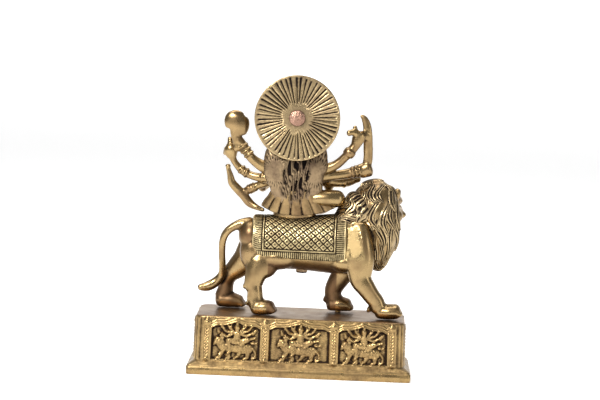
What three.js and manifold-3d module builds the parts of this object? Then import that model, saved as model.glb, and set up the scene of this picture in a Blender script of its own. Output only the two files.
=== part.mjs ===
// A cast brass durga statuette: the goddess sits sideways on a striding lion, a fluted halo
// behind her head, on a hollow box plinth with arched relief panels on all four sides.
//
// Millimetres, +Z up. The origin is the middle of the plinth's underside. The goddess faces -Y,
// the lion walks towards -X and turns its face between -X and -Y.
import * as THREE from 'three';
import Module from 'manifold-3d';
import { ParametricGeometry } from 'three/addons/geometries/ParametricGeometry.js';
import { mergeVertices } from 'three/addons/utils/BufferGeometryUtils.js';

const wasm = await Module();
wasm.setup();

// Plinth
const PLATE_LENGTH = 222;
const PLATE_WIDTH = 90;
const PLATE_HEIGHT = 9.7;
const PLATE_CORNER = 3.5;
const BEAD_HEIGHT = 1.4;
const BEAD_STEP = 1;
const SLOPE_HEIGHT = 4;
const BODY_LENGTH = 207;
const BODY_WIDTH = 78;
const BODY_CORNER = 9;
const BODY_SPREAD = 0.8;
const PLINTH_HEIGHT = 58.2;
const TOP_ROUNDING = 1.8;
const PLINTH_WALL = 5.5;
const PLINTH_TOP_WALL = 4;

// Arched panels and pilasters
const MIDDLE_PANEL = 60;
const OUTER_PANEL = 49;
const END_PANEL = 46;
const PILASTER_WIDTH = 8.6;
const PILASTER_RELIEF = 1.2;
const PANEL_DEPTH = 2.6;
const PANEL_SILL = 1.2;
const PANEL_HEIGHT = 35.4;
const ARCH_RISE = 3.8;
const ARCH_BAND = 2.4;
const ARCH_BAND_DEPTH = 0.9;
const COLUMN_RADIUS = 1.3;
const COLUMN_SPACING = 4.4;
const RELIEF_HEIGHT = 36;

// Figures
const LION_HEIGHT = 138;
const DURGA_HEIGHT = 124;
const SEAT_FROM_MIDDLE = 10;
const SEAT_RISE = 0.8;
const CLOTH_THICKNESS = 1.8;
const LOCK_RELIEF = 2.3;
const SKIRT_THICKNESS = 2.2;

// Halo and fastenings
const HALO_DIAMETER = 84.6;
const HALO_THICKNESS = 3;
const HALO_RING = 26;
const HALO_RIM = 2.2;
const FLUTE_COUNT = 48;
const HALO_SIDES = 48;
const FLUTE_DEPTH = 1;
const FLUTE_WIDTH = 1.3;
const RIVET_HEAD = 16.2;
const RIVET_HEIGHT = 2.6;
const RIVET_SHANK = 7;
const NUT_ACROSS = 13;
const NUT_HEIGHT = 4.2;
const SPACER_DIAMETER = 6;
const SPACER_HEIGHT = 1.4;
const GAP = 0.3;

const lionUnit = LION_HEIGHT / 138;
const durgaUnit = DURGA_HEIGHT / 124;

// Closed solids for joining and cutting

// Turns a closed geometry into a manifold solid, without its seams and collapsed triangles.
function solid(geometry) {
  const bare = geometry.clone();
  bare.deleteAttribute('normal');
  bare.deleteAttribute('uv');
  const merged = mergeVertices(bare, 1e-4);
  const corners = merged.index.array;
  const kept = [];
  for (let i = 0; i < corners.length; i += 3) {
    const [a, b, c] = corners.slice(i, i + 3);
    if (a !== b && b !== c && c !== a) kept.push(a, b, c);
  }
  return new wasm.Manifold(new wasm.Mesh({
    numProp: 3,
    vertProperties: Float32Array.from(merged.attributes.position.array),
    triVerts: Uint32Array.from(kept),
  }));
}

function join(pieces) {
  return pieces.reduce((whole, piece) => whole.add(piece));
}

function cut(whole, pieces) {
  return pieces.reduce((left, piece) => left.subtract(piece), whole);
}

// A named mesh of a finished solid.
function asMesh(name, whole, material) {
  const { numProp, vertProperties, triVerts } = whole.getMesh();
  const places = new Float32Array((vertProperties.length / numProp) * 3);
  for (let i = 0; i < places.length / 3; i++) {
    places.set(vertProperties.slice(i * numProp, i * numProp + 3), i * 3);
  }
  const geometry = new THREE.BufferGeometry();
  geometry.setAttribute('position', new THREE.BufferAttribute(places, 3));
  geometry.setIndex(new THREE.BufferAttribute(Uint32Array.from(triVerts), 1));
  geometry.computeVertexNormals();
  const mesh = new THREE.Mesh(geometry, material);
  mesh.name = name;
  return mesh;
}

const Y_AXIS = new THREE.Vector3(0, 1, 0);
const X_AXIS = new THREE.Vector3(1, 0, 0);

// A skin point on a limb: stations are [x, y, z, half width along `across`, half width square to
// it]. t runs along the limb, angle round it; lift grows the section and push moves it along.
function skin(stations, across = Y_AXIS) {
  const middle = new THREE.CatmullRomCurve3(stations.map((s) => new THREE.Vector3(s[0], s[1], s[2])),
    false, 'catmullrom', 0.5);
  const widths = new THREE.CatmullRomCurve3(stations.map((s) => new THREE.Vector3(s[3], s[4], 0)),
    false, 'catmullrom', 0.5);
  return (t, angle, { swell = 1, lift = 0, push = 0 } = {}) => {
    const along = middle.getTangent(t);
    const side = across.clone().addScaledVector(along, -across.dot(along)).normalize();
    const over = along.clone().cross(side);
    const width = widths.getPoint(t);
    return middle.getPoint(t)
      .addScaledVector(side, (width.x + lift) * swell * Math.cos(angle))
      .addScaledVector(over, (width.y + lift) * swell * Math.sin(angle))
      .addScaledVector(along, push * Math.min(width.x, width.y));
  };
}

// A closed limb with rounded ends along its stations.
function limb(stations, { sides = 6, rings = stations.length - 1, across = Y_AXIS,
  dome = 0.7, capRows = 1, turn = 0, twist = () => 0, lift = 0, carve = () => 0 } = {}) {
  const at = skin(stations, across);
  const rows = rings + 2 * capRows;
  const fullness = sides > 4 ? 1 / Math.sqrt(Math.cos(Math.PI / sides)) : 1;
  const surface = (u, v, target) => {
    const row = Math.round(v * rows);
    const t = THREE.MathUtils.clamp((row - capRows) / rings, 0, 1);
    const fromEnd = Math.min(row, rows - row);
    const closing = Math.min(fromEnd / capRows, 1) * Math.PI / 2;
    const outward = row < capRows ? -1 : 1;
    const angle = 2 * Math.PI * u + turn + twist(t);
    target.copy(at(t, angle, {
      swell: fullness * Math.sin(closing),
      lift: lift + carve(t, Math.round(u * sides) % sides, angle),
      push: outward * dome * Math.cos(closing),
    }));
  };
  return solid(new ParametricGeometry(surface, sides, rows));
}

// A small knob: a sphere pressed to three half widths.
function knob([x, y, z], [a, b, c], around = 8, down = 5) {
  const geometry = new THREE.SphereGeometry(1, around, down);
  geometry.rotateX(Math.PI / 2);
  geometry.scale(a, b, c);
  geometry.translate(x, y, z);
  return solid(geometry);
}

function box(sizeX, sizeY, sizeZ, x, y, z) {
  return solid(new THREE.BoxGeometry(sizeX, sizeY, sizeZ).translate(x, y, z));
}

// A flat outline in the XZ plane, extruded from y = from to y = to.
function slab(points, from, to) {
  const shape = new THREE.Shape(points.map(([x, z]) => new THREE.Vector2(x, z)));
  const geometry = new THREE.ExtrudeGeometry(shape, { depth: to - from, bevelEnabled: false });
  geometry.rotateX(Math.PI / 2);
  geometry.translate(0, to, 0);
  return solid(geometry);
}

// A smooth curve through a few [x, z] points, as an outline's points.
function smooth(points, steps) {
  const curve = new THREE.SplineCurve(points.map(([x, z]) => new THREE.Vector2(x, z)));
  return curve.getPoints(steps).map((p) => [p.x, p.y]);
}

// Plinth

const CORNER_STEPS = 3;

// A stack of rounded rectangles, each [height, half length, half width, corner radius], closed
// flat at both ends.
function stack(sections) {
  const perCorner = CORNER_STEPS + 1;
  const around = 4 * perCorner;
  const rows = sections.length + 1;
  const surface = (u, v, target) => {
    const row = Math.round(v * rows);
    const step = Math.round(u * around) % around;
    const corner = Math.floor(step / perCorner);
    const angle = (corner + (step % perCorner) / CORNER_STEPS) * Math.PI / 2;
    const [z, halfLength, halfWidth, radius] = sections[THREE.MathUtils.clamp(row - 1, 0, sections.length - 1)];
    if (row === 0 || row === rows) return target.set(0, 0, z);
    const right = corner === 0 || corner === 3 ? 1 : -1;
    const back = corner < 2 ? 1 : -1;
    return target.set(
      right * (halfLength - radius) + radius * Math.cos(angle),
      back * (halfWidth - radius) + radius * Math.sin(angle),
      z,
    );
  };
  return solid(new ParametricGeometry(surface, around, rows));
}

const bodyFoot = PLATE_HEIGHT + SLOPE_HEIGHT;

function plinthShell() {
  const plate = [PLATE_LENGTH / 2, PLATE_WIDTH / 2];
  const body = [BODY_LENGTH / 2, BODY_WIDTH / 2];
  const beadFoot = PLATE_HEIGHT - BEAD_HEIGHT;
  const outer = stack([
    [0, plate[0], plate[1], PLATE_CORNER],
    [beadFoot, plate[0], plate[1], PLATE_CORNER],
    [beadFoot, plate[0] - BEAD_STEP, plate[1] - BEAD_STEP, PLATE_CORNER],
    [PLATE_HEIGHT, plate[0] - BEAD_STEP, plate[1] - BEAD_STEP, PLATE_CORNER],
    [bodyFoot, body[0] + BODY_SPREAD, body[1] + BODY_SPREAD, BODY_CORNER],
    [PLINTH_HEIGHT - TOP_ROUNDING, body[0], body[1], BODY_CORNER],
    [PLINTH_HEIGHT, body[0] - TOP_ROUNDING, body[1] - TOP_ROUNDING, BODY_CORNER],
  ]);
  const innerCorner = BODY_CORNER - PLINTH_WALL;
  const inner = stack([
    [-1, body[0] - PLINTH_WALL, body[1] - PLINTH_WALL, innerCorner],
    [PLINTH_HEIGHT - PLINTH_TOP_WALL, body[0] - PLINTH_WALL, body[1] - PLINTH_WALL, innerCorner],
  ]);
  return outer.subtract(inner);
}

// The cusped arch of a panel: straight sides, low shoulders and a pointed hood in the middle.
// Spread grows it on all sides but the sill.
function archOutline(width, spread) {
  const half = width / 2 + spread;
  const foot = bodyFoot + PANEL_SILL;
  const springing = foot + PANEL_HEIGHT + spread;
  const hood = [
    [half, springing - 1],
    [half * 0.72, springing],
    [half * 0.42, springing + ARCH_RISE * 0.3],
    [half * 0.22, springing + ARCH_RISE * 0.86],
    [0, springing + ARCH_RISE],
  ];
  const mirrored = hood.slice(0, -1).reverse().map(([x, z]) => [-x, z]);
  return [[-half, foot], [half, foot], ...hood, ...mirrored];
}

// The panels of one side, as [middle along the side, width].
function sidePanels() {
  const outerMiddle = MIDDLE_PANEL / 2 + PILASTER_WIDTH + OUTER_PANEL / 2;
  return [[-outerMiddle, OUTER_PANEL], [0, MIDDLE_PANEL], [outerMiddle, OUTER_PANEL]];
}

// Pilasters stand on both sides of every panel.
function pilasterPlaces(panels) {
  const places = panels.map(([middle, width]) => middle + width / 2 + PILASTER_WIDTH / 2);
  const [firstMiddle, firstWidth] = panels[0];
  return [firstMiddle - firstWidth / 2 - PILASTER_WIDTH / 2, ...places];
}

// A ridge of relief along [x, z, half width] points, on the plane y = 0.
function ridge(points, height = 1.5) {
  return limb(points.map(([x, z, r]) => [x, 0, z, height, r]), { sides: 3, dome: 0.4 });
}

// A fan of raised arms: tips spread over a half circle round the shoulders, with notches between.
function armFan(x, z, reach, arms) {
  const points = Array.from({ length: 2 * arms - 1 }, (_, step) => {
    const angle = Math.PI * (0.06 + 0.88 * step / (2 * arms - 2));
    const length = step % 2 ? reach * 0.42 : reach;
    return [x + length * 1.15 * Math.cos(angle), z + length * Math.sin(angle)];
  });
  return slab([[x, z - 3], ...points], -RELIEF_LEVEL, RELIEF_LEVEL);
}

// One goddess on a lion in low relief, on the plane y = 0 and standing out towards +Y. The
// numbers are thirty-fourths of its height.
const RELIEF_LEVEL = 1.6;
const RELIEF_UNITS = 34;
const RELIEF_LEGS = [
  [[12, 11, 3.2], [16, 0.5, 2.6]], [[8, 10, 2.8], [6, 0.5, 2.2]], [[-6, 10, 3], [-2, 0.5, 2.2]],
  [[-13, 11, 3.4], [-12, 0.5, 2.6]], [[-17, 13, 2], [-19.5, 2, 2]],
];

function reliefFigure() {
  const x = -1;
  return join([
    limb([[15, 0, 13.5, 2.4, 5], [-13, 0, 12, 2.4, 5.4]], { sides: 4 }),
    knob([16.5, 0, 18], [5, 3, 5.2], 5, 3),
    ...RELIEF_LEGS.map((leg) => ridge(leg)),
    limb([[8, 0, 20, 2.6, 3.4], [-11, 0, 19.5, 2.6, 3.8]], { sides: 4 }),
    ridge([[3, 19, 2.8], [5, 5, 2.2]], 2.8),
    limb([[x, 0, 19, 2.4, 4.4], [x, 0, 28, 2.2, 3.4]], { sides: 4 }),
    armFan(x, 26, 11, 5),
    knob([x, 0, 32], [3.2, 3, 4], 5, 3),
  ]);
}

// A petalled boss for the plainer ends.
function lotusBoss() {
  const height = RELIEF_HEIGHT / 2;
  const petals = Array.from({ length: 6 }, (_, petal) => {
    const angle = (petal + 0.5) * Math.PI / 3;
    const along = (reach) => [reach * Math.cos(angle), height + reach * Math.sin(angle)];
    return ridge([[...along(3), 1.6], [...along(9), 3.2]], 2);
  });
  return join([knob([0, 0.3, height], [4.4, 2.8, 4.4], 6, 4), ...petals]);
}

// The carving of one side, made on its back face: what is cut in and what stands on it.
function carvedSide(panels, halfWidth, motif) {
  const floor = halfWidth - PANEL_DEPTH;
  const outside = halfWidth + BODY_SPREAD + 1;
  const scale = RELIEF_HEIGHT / RELIEF_UNITS;
  const cuts = [];
  const raised = [];
  for (const [middle, width] of panels) {
    const shifted = (outline) => outline.map(([x, z]) => [x + middle, z]);
    cuts.push(slab(shifted(archOutline(width, ARCH_BAND)), halfWidth - ARCH_BAND_DEPTH, outside));
    cuts.push(slab(shifted(archOutline(width, 0)), floor, outside));
    raised.push(motif.scale([scale, 1, scale]).translate([middle, floor, bodyFoot + PANEL_SILL]));
  }
  for (const middle of pilasterPlaces(panels)) {
    const foot = bodyFoot - 0.5;
    const head = PLINTH_HEIGHT - TOP_ROUNDING - ARCH_RISE;
    const depth = PANEL_DEPTH + PILASTER_RELIEF;
    const shaft = PILASTER_WIDTH * 0.62;
    raised.push(box(shaft, depth, head - foot, middle, floor + depth / 2, (head + foot) / 2));
    const lozenge = PILASTER_WIDTH * 0.5;
    raised.push(slab([[middle - lozenge, head], [middle, head - lozenge], [middle + lozenge, head],
      [middle, head + lozenge]], floor, halfWidth + PILASTER_RELIEF));
  }
  return { cuts, raised };
}

// Pairs of slim columns stand in the rounded corners.
function cornerColumns() {
  const height = PLINTH_HEIGHT - TOP_ROUNDING - bodyFoot;
  const columns = [];
  for (const right of [-1, 1]) {
    for (const back of [-1, 1]) {
      for (const step of [0, 1]) {
        const angle = Math.PI / 4 + (step - 0.5) * COLUMN_SPACING / BODY_CORNER * 1.6;
        const reach = BODY_CORNER + COLUMN_RADIUS * 0.2;
        const x = right * (BODY_LENGTH / 2 - BODY_CORNER + reach * Math.cos(angle));
        const y = back * (BODY_WIDTH / 2 - BODY_CORNER + reach * Math.sin(angle));
        const column = new THREE.CylinderGeometry(COLUMN_RADIUS * 0.9, COLUMN_RADIUS * 1.6, height, 5);
        columns.push(solid(column.rotateX(Math.PI / 2).translate(x, y, bodyFoot + height / 2)));
      }
    }
  }
  return columns;
}

function plinth() {
  const back = carvedSide(sidePanels(), BODY_WIDTH / 2, reliefFigure());
  const end = carvedSide([[0, END_PANEL]], BODY_LENGTH / 2, lotusBoss());
  const aroundPlinth = ({ cuts, raised }, turns) => turns.flatMap((turn) => [
    { piece: join(cuts).rotate([0, 0, turn]), cutting: true },
    { piece: join(raised).rotate([0, 0, turn]), cutting: false },
  ]);
  const carving = [...aroundPlinth(back, [0, 180]), ...aroundPlinth(end, [90, 270])];
  const shell = cut(plinthShell(), carving.filter((c) => c.cutting).map((c) => c.piece));
  return join([shell, ...carving.filter((c) => !c.cutting).map((c) => c.piece), ...cornerColumns()]);
}

// Lion: stations are in hundred-and-thirty-eighths of its height, from the middle of the
// plinth's top

const TRUNK = [[57, 2, 77, 11, 13], [51, 1, 77, 18.5, 19], [38, 0, 71.5, 22.5, 25.5], [3.5, 0, 70.7, 23.5, 26.3],
  [-31.5, 0, 71.2, 24, 29.3], [-54.5, -1, 73.5, 22, 30], [-67.5, -4, 73.5, 16, 26]];

const LEGS = [
  [[45.5, 4, 80, 9, 14], [43, 7, 63, 12, 19.5], [41.5, 11.5, 50.5, 11.5, 18], [46, 15, 40, 9, 11.4],
    [48, 16, 30, 7.6, 9.4], [46.5, 17, 23.5, 7, 7.8], [46, 17, 16, 7.2, 8.2], [44.5, 17.5, 9.5, 7.8, 7.6]],
  [[51, -12, 62, 12, 16], [57.5, -14, 51, 11, 14], [66, -16, 42, 9.8, 11.5], [73.5, -18, 34.5, 8.6, 9],
    [77, -20, 26.5, 7.6, 7.6], [78, -21, 19, 7.6, 8], [80, -21.5, 11.5, 8, 8.8]],
  [[-54.5, 10, 90, 10, 10], [-57, 13, 75, 11.5, 12], [-57, 15, 58.5, 11, 14.5], [-58, 16, 40.5, 9.6, 11.4],
    [-64, 17, 31, 9.2, 9.6], [-70, 17, 23, 8.8, 8.6], [-74.5, 17, 17.5, 8.6, 8.2], [-77, 17, 11.5, 8.8, 8]],
  [[-48, -12, 57.5, 10, 14], [-42.5, -15, 43.5, 9, 11.5], [-35.5, -17, 31.5, 8.6, 10],
    [-31.5, -18, 22.5, 8.2, 8.8], [-32, -18, 15, 8.2, 8.6], [-34, -18, 10, 8.8, 10]],
];

// Each paw has its heel, middle and toe stations, and the height it stands at.
const PAWS = [
  { stations: [[45.5, 17.5, 6.5, 8.4, 7], [37.5, 18.5, 7.5, 9.6, 7.8], [30.5, 19, 7.5, 9, 7]], stands: 0 },
  { stations: [[83, -21.5, 8, 8.6, 7.6], [73, -21.5, 8, 9.6, 8], [63.5, -21.5, 6.5, 9, 6.4]], stands: 0 },
  { stations: [[-78, 17, 7.5, 9, 7], [-87, 17.5, 8, 10.2, 7.8], [-94.5, 18, 8.5, 9.6, 7.6]], stands: 0 },
  { stations: [[-30.5, -18, 7.5, 9, 8.2], [-38.5, -18, 8, 10, 8.5], [-46, -18, 7.5, 9.6, 7.2]],
    stands: SPACER_HEIGHT + GAP },
];

const TAIL = [[54.5, 3, 89.5, 6, 6.5], [62.5, 4, 88.5, 5.2, 5.6], [70.5, 5, 85.5, 4.2, 4.4],
  [77.5, 5, 79.5, 3.8, 4], [81, 4, 70.5, 3.6, 3.7], [81.5, 1, 58.5, 3.4, 3.5], [81, -4, 46, 3.4, 3.6],
  [81.5, -9, 35.5, 3.6, 4], [87, -11, 27.5, 4.2, 5], [95, -10, 22.5, 4.4, 5.2], [103.5, -8, 21, 3, 3.4]];

const MANE = [[-72.5, -5, 50, 8, 6], [-76, -5, 60, 15, 9.5], [-78.5, -5, 78, 20.5, 15.5],
  [-76, -5, 96, 22.5, 19], [-71.5, -5, 113, 21.5, 21], [-68, -6, 126, 16, 18.5], [-66.5, -7, 133, 7, 11]];

const NECK = [[-35, 0, 84, 14, 13], [-47, -1, 96, 17, 17.5], [-58, -3, 107.5, 18.5, 21]];

// The lion's face looks this way; the head is turned off the line of the body.
const FACE_TURN = 38 * Math.PI / 180;
const FACE_MIDDLE = [-79.5, -20, 106];

// Sets a piece made looking along -Y, with its middle at the origin, on the lion's head.
function onFace(piece) {
  return piece.rotate([0, 0, -FACE_TURN * 180 / Math.PI]).translate(FACE_MIDDLE);
}

function lionFace() {
  const muzzle = limb([[0, -2, 0, 11, 12], [0, -13, -3, 10, 9], [0, -22.5, -6, 8, 8]],
    { sides: 7, across: X_AXIS });
  const jaw = limb([[0, -6, -12, 8, 5], [0, -20.5, -15.5, 5, 3.4]], { across: X_AXIS });
  const forehead = knob([0, -7, 10], [14, 11, 12], 8, 4);
  const nose = knob([0, -25.5, -2.5], [4.4, 3, 3], 5, 3);
  const sides = [-1, 1].flatMap((side) => [
    knob([side * 7, -15.5, 7.5], [4.2, 3.4, 2.6], 5, 3),
    limb([[side * 11, 0, 10, 5, 4.5], [side * 15, -2, 20.5, 4, 3]], { sides: 5, across: X_AXIS }),
  ]);
  return onFace(join([muzzle, jaw, forehead, nose, ...sides]));
}

// The mane falls in tiers of S-shaped locks that overlap like shingles: a ridge for each lock,
// standing further out towards its tip, with the next tier's locks between.
const LOCKS_AROUND = 11;
const TIER_ROWS = 4;
const TIERS = 3;

function mane() {
  const rings = TIERS * TIER_ROWS;
  const carve = (t, column) => {
    const fromTop = Math.round((1 - t) * rings);
    const tier = Math.floor(fromTop / TIER_ROWS);
    const down = (fromTop % TIER_ROWS) / (TIER_ROWS - 1);
    const onRidge = (column + tier) % 2 === 0;
    return onRidge ? 0.5 + (LOCK_RELIEF - 0.5) * Math.sin(Math.PI * (0.25 + 0.5 * down)) : 1 - 3.2 * down;
  };
  const twist = (t) => 0.32 * Math.sin(2 * Math.PI * t * 1.2);
  return limb(MANE, { sides: 2 * LOCKS_AROUND, rings, carve, twist });
}

function paw({ stations, stands }) {
  const [, , toe] = stations;
  const toes = [-1, 0, 1].map((place) => knob(
    [toe[0] - 2 + 1.2 * Math.abs(place), toe[1] + place * 5.6, toe[2] - 2], [5.4, 3.8, 5.6], 5, 3));
  const whole = join([limb(stations), ...toes]);
  const foot = (stands + GAP) / lionUnit;
  return whole.subtract(box(80, 60, 40, toe[0], toe[1], foot - 20));
}

// The saddle cloth: the trunk's own skin grown by its thickness, cut to the cloth's outline seen
// from the side.
const CLOTH_OUTLINE = [[53, 140], [51.5, 57.5], [-42.5, 55.5], [-45, 140]];

function grownTrunk(lift) {
  return limb(TRUNK, { sides: 12, capRows: 2, lift: lift / lionUnit });
}

function saddleCloth() {
  const reach = PLATE_WIDTH / lionUnit;
  return grownTrunk(CLOTH_THICKNESS).intersect(slab(CLOTH_OUTLINE, -reach, reach));
}

function neck(lift = 0) {
  return limb(NECK, { sides: 8, lift: lift / lionUnit });
}

const toPlinth = (piece) => piece.scale([lionUnit, lionUnit, lionUnit]).translate([0, 0, PLINTH_HEIGHT]);

function lionBody() {
  return join([
    limb(TRUNK, { sides: 12, capRows: 2 }),
    saddleCloth(),
    ...LEGS.map((leg) => limb(leg, { sides: 7 })),
    ...PAWS.map(paw),
    limb(TAIL),
    limb([[80, -12, 37, 3, 5], [76, -18, 33, 4, 5]]),
    neck(),
    mane(),
    lionFace(),
  ]);
}

// The room that the rider leaves free: the cloth, neck and mane, grown by the gap.
function riderClearance() {
  const plainMane = limb(MANE, { sides: 12, lift: (LOCK_RELIEF + GAP) / lionUnit });
  return join([grownTrunk(CLOTH_THICKNESS + GAP), neck(GAP), plainMane]);
}

// Where the rider's seat comes to: on the cloth over the trunk's own top.
function seatPlace() {
  const reach = PLATE_WIDTH / lionUnit;
  const slice = slab([[-0.5, 0], [0.5, 0], [0.5, LION_HEIGHT], [-0.5, LION_HEIGHT]], -reach, reach);
  const under = grownTrunk(0).intersect(slice.translate([SEAT_FROM_MIDDLE / lionUnit, 0, 0]));
  const top = under.boundingBox().max[2] * lionUnit;
  return [SEAT_FROM_MIDDLE, 0, PLINTH_HEIGHT + top + CLOTH_THICKNESS + SEAT_RISE];
}

const seat = seatPlace();

// Durga: stations are in hundred-and-twenty-fourths of her height, from her seat on the cloth

const HAIR = [[-1, 5, 75, 5, 20], [-1, 6, 66, 7, 29], [0.5, 7.5, 54, 8.5, 32], [1, 7.5, 42, 8.5, 31],
  [-0.5, 7, 31, 8, 27], [-1.5, 5.5, 22, 7, 25.5], [-2, 4.5, 13, 6, 23], [-2, 4, 7, 5, 16]];
const CHEST = [[0, -1.5, -2, 10, 22], [0, -0.5, 12, 9.5, 17], [0, 0, 26, 10, 14.5], [0, 0, 42, 12, 20],
  [0, 1, 52, 10, 22], [0, 1, 60, 6, 9], [0, 0, 68, 5, 5.5]];

const ARMS = {
  leftUpper: [[22.5, 2, 45.5, 7, 8], [33, 3, 47, 5.6, 6.2], [44, 4, 54, 4.4, 4.8], [50.4, 5, 62, 4.4, 4.8],
    [55, 5, 68, 4.4, 5], [59.5, 5, 73, 4.4, 5.2]],
  leftMiddle: [[24, 1, 35, 6, 6], [37, -2, 35.4, 4.2, 4.4], [46, -4, 37.2, 3.8, 4], [52.5, -5, 40.5, 4.2, 4.4],
    [57.5, -5, 44.2, 3.6, 3.8], [62, -5, 49.5, 3.2, 3.3], [64.8, -5, 54.5, 3.6, 3.8]],
  leftLower: [[23, -3, 32.5, 5.2, 5], [32, -5, 29, 4, 4.2], [40.6, -7, 25.6, 3.8, 4], [49, -9, 21, 4, 4.3]],
  leftFront: [[20, -2, 47, 5.5, 5.5], [31, -8, 33, 4.8, 4.8], [34, -14, 24, 4.2, 4.2], [29, -23, 27, 3.6, 3.6],
    [24, -29, 31, 3.4, 3.6]],
  rightUpper: [[-25.5, 2, 45.5, 6, 6.2], [-36, 3, 49.5, 4.8, 5], [-42, 4, 53.5, 4.4, 4.6], [-48, 5, 59.5, 4.2, 4.4],
    [-53, 5, 65, 4.4, 4.8], [-57.5, 5, 71, 4.2, 4.8], [-60, 5, 77, 4.6, 6.2], [-62, 5, 82.5, 4.6, 6]],
  rightMiddle: [[-24, -1, 38.5, 6, 6.4], [-36, -2, 40, 5, 5.2], [-46.5, -3, 41.5, 4.8, 5],
    [-55, -4, 43.5, 5, 5.4], [-62, -4, 45.5, 5, 6]],
  rightLower: [[-26, -8, 34, 5.6, 5.6], [-38, -12, 32.5, 5, 5], [-50, -15, 33, 4.8, 5],
    [-57, -17, 35.5, 4.6, 4.8]],
  rightFront: [[-20, -2, 47, 5.5, 5.5], [-30, -8, 34, 4.8, 4.8], [-33, -15, 26, 4.2, 4.2],
    [-28, -23, 33, 3.6, 3.6], [-24, -27, 40, 3.2, 3.4]],
};

const HANDS = [
  [[65.5, -5, 56, 4.6, 5.4], [66.2, -5, 60, 5.6, 7], [66.4, -5, 64.5, 5.4, 6.6], [67.2, -5, 69, 3, 3.2]],
  [[67.4, -6, 70.5, 2.6, 2.8], [67.6, -6, 73, 2.6, 2.8]],
  [[71.5, -7, 57.5, 2.8, 3], [70.5, -7, 62.5, 3, 3.4]],
  [[54, 5, 66, 4.2, 4.6], [60.5, 5, 65, 4.2, 4.6]],
  [[-60, 6, 83, 3.4, 3.6], [-54.5, 7, 84.5, 3, 3.2], [-50.5, 8, 83.5, 2.8, 3]],
  [[-58, 6, 86.5, 2, 2], [-56.5, 6, 90, 2, 2.2]],
  [[-62, 4, 81.5, 3.4, 4.8], [-70, 0, 81, 2.6, 5]],
  [[-65, -4, 45.5, 5.6, 7.4], [-72, -4, 48, 5.8, 8]],
  [[24, -29, 31, 3.4, 4.2], [19, -32, 32, 2, 3.6]],
  [[-24, -28, 41, 2.6, 4.4], [-24, -29, 47, 2.2, 4.6], [-24, -29.5, 54, 1.5, 3.4]],
  [[-57, -17, 36, 4.6, 4.8], [-62, -18, 37, 4, 4.4]],
];

const PADDLE = [[59, 5, 68, 4, 4.5], [60.3, 5, 74, 4, 5], [60.8, 5, 78, 4.2, 6.2], [59.6, 5, 82.5, 4.8, 10],
  [59.8, 5, 87, 5.2, 11.8], [61.1, 5, 91.5, 5.2, 12.4], [60.8, 5, 96.5, 4.6, 10.6], [60, 5, 100, 2.8, 6]];
const BOW = [[69, -9, 45.5, 2.6, 2.8], [68.6, -9, 42.5, 2.2, 2.4], [66.5, -9, 36, 2.8, 3.2], [64.3, -9, 28.5, 3.2, 4.2],
  [59, -9, 22.6, 3.8, 4.6], [52.2, -9, 15.8, 4, 4.6], [46, -8, 8.8, 3.8, 4.4], [38.9, -5, 5, 2.8, 3],
  [31.8, 0, 3, 2, 2]];
const BLADE = [[-70.5, -4, 53, 3.6, 4.8], [-71, -3, 60, 2.8, 4.8], [-70.5, -2, 73, 2.5, 4.8],
  [-69.5, 0, 86, 2.3, 4.6], [-68, 0, 93.5, 2.1, 4], [-65.5, 0, 98.5, 1.8, 3.1], [-62.5, 0, 101, 1.2, 1.7]];

const THIGHS = [
  [[-8, 0, 11, 8, 8], [-20, 2.5, 16.5, 8.5, 8], [-31, 3, 17.3, 9, 8.8], [-41.5, 1.5, 17.2, 8.4, 8.8]],
  [[-36, -9, 14, 7.5, 7.5], [-26, -20, 6, 7, 7], [-12, -28, 3, 6, 6], [0, -30, 1, 5, 4.5], [9, -31, 0, 4.6, 3.4]],
  [[6, -4, 4, 12, 11], [12, -18, 4, 11, 10], [15, -29, 1, 9, 9]],
  [[15, -31, 1, 8, 8.5], [13, -34, -14, 6.5, 7.5], [11, -35, -30, 5, 5.5], [10, -35.5, -43, 4, 4.5]],
  [[10, -35, -45, 4, 4.4], [8, -38, -49, 3.6, 4.4], [5, -41, -51.5, 2.6, 3.8]],
];

const HEM = [[40, 11], [31, 6], [24, 2.6], [13.5, 0.1], [-2, -0.8], [-19.5, 1.3], [-30.5, 4.2], [-39, 7.6], [-45, 11.7], [-50, 15]];
const FOLD_COUNT = 8;

const toSeat = (piece) => piece.scale([durgaUnit, durgaUnit, durgaUnit]).translate(seat);

// The skirt spreads over the cloth as a second skin, cut to the curved hem, with folds rising to
// the waist.
function skirt() {
  const hem = smooth(HEM, 10);
  const outline = [...hem, [-40, 40], [40, 40]];
  const ratio = lionUnit / durgaUnit;
  const place = [-seat[0] / durgaUnit, 0, (PLINTH_HEIGHT - seat[2]) / durgaUnit];
  const over = grownTrunk(CLOTH_THICKNESS + SKIRT_THICKNESS);
  const drape = over.scale([ratio, ratio, ratio]).translate(place).intersect(slab(outline, -40, 40));
  const waist = limb([[-5.5, 0.5, -12, 9.5, 39], [-5.5, 0.5, -2, 9.2, 38], [-4.5, 1.5, 6, 9, 34.5],
    [-2.5, 3.5, 14, 8.2, 29.5], [-1.5, 4.5, 22, 7.5, 26]], { sides: 2 * FOLD_COUNT, carve: (t, column) => 0.8 * (1 - t) * (column % 2 ? -1 : 1) });
  return join([drape, waist.intersect(slab(outline, -40, 40))]);
}

// The long hair: a mantle with strands carved down its back.
const STRAND_COUNT = 14;

function backHair() {
  const strands = (t, column, angle) => {
    const onBack = Math.max(0, Math.cos(angle));
    const wave = Math.sin(2 * STRAND_COUNT * angle / 2 + 2.4 * Math.sin(3 * t + angle));
    return -1.1 * onBack * (0.5 + 0.5 * wave);
  };
  return limb(HAIR, { sides: STRAND_COUNT * 3 / 2, dome: 0.5, carve: strands });
}

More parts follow.
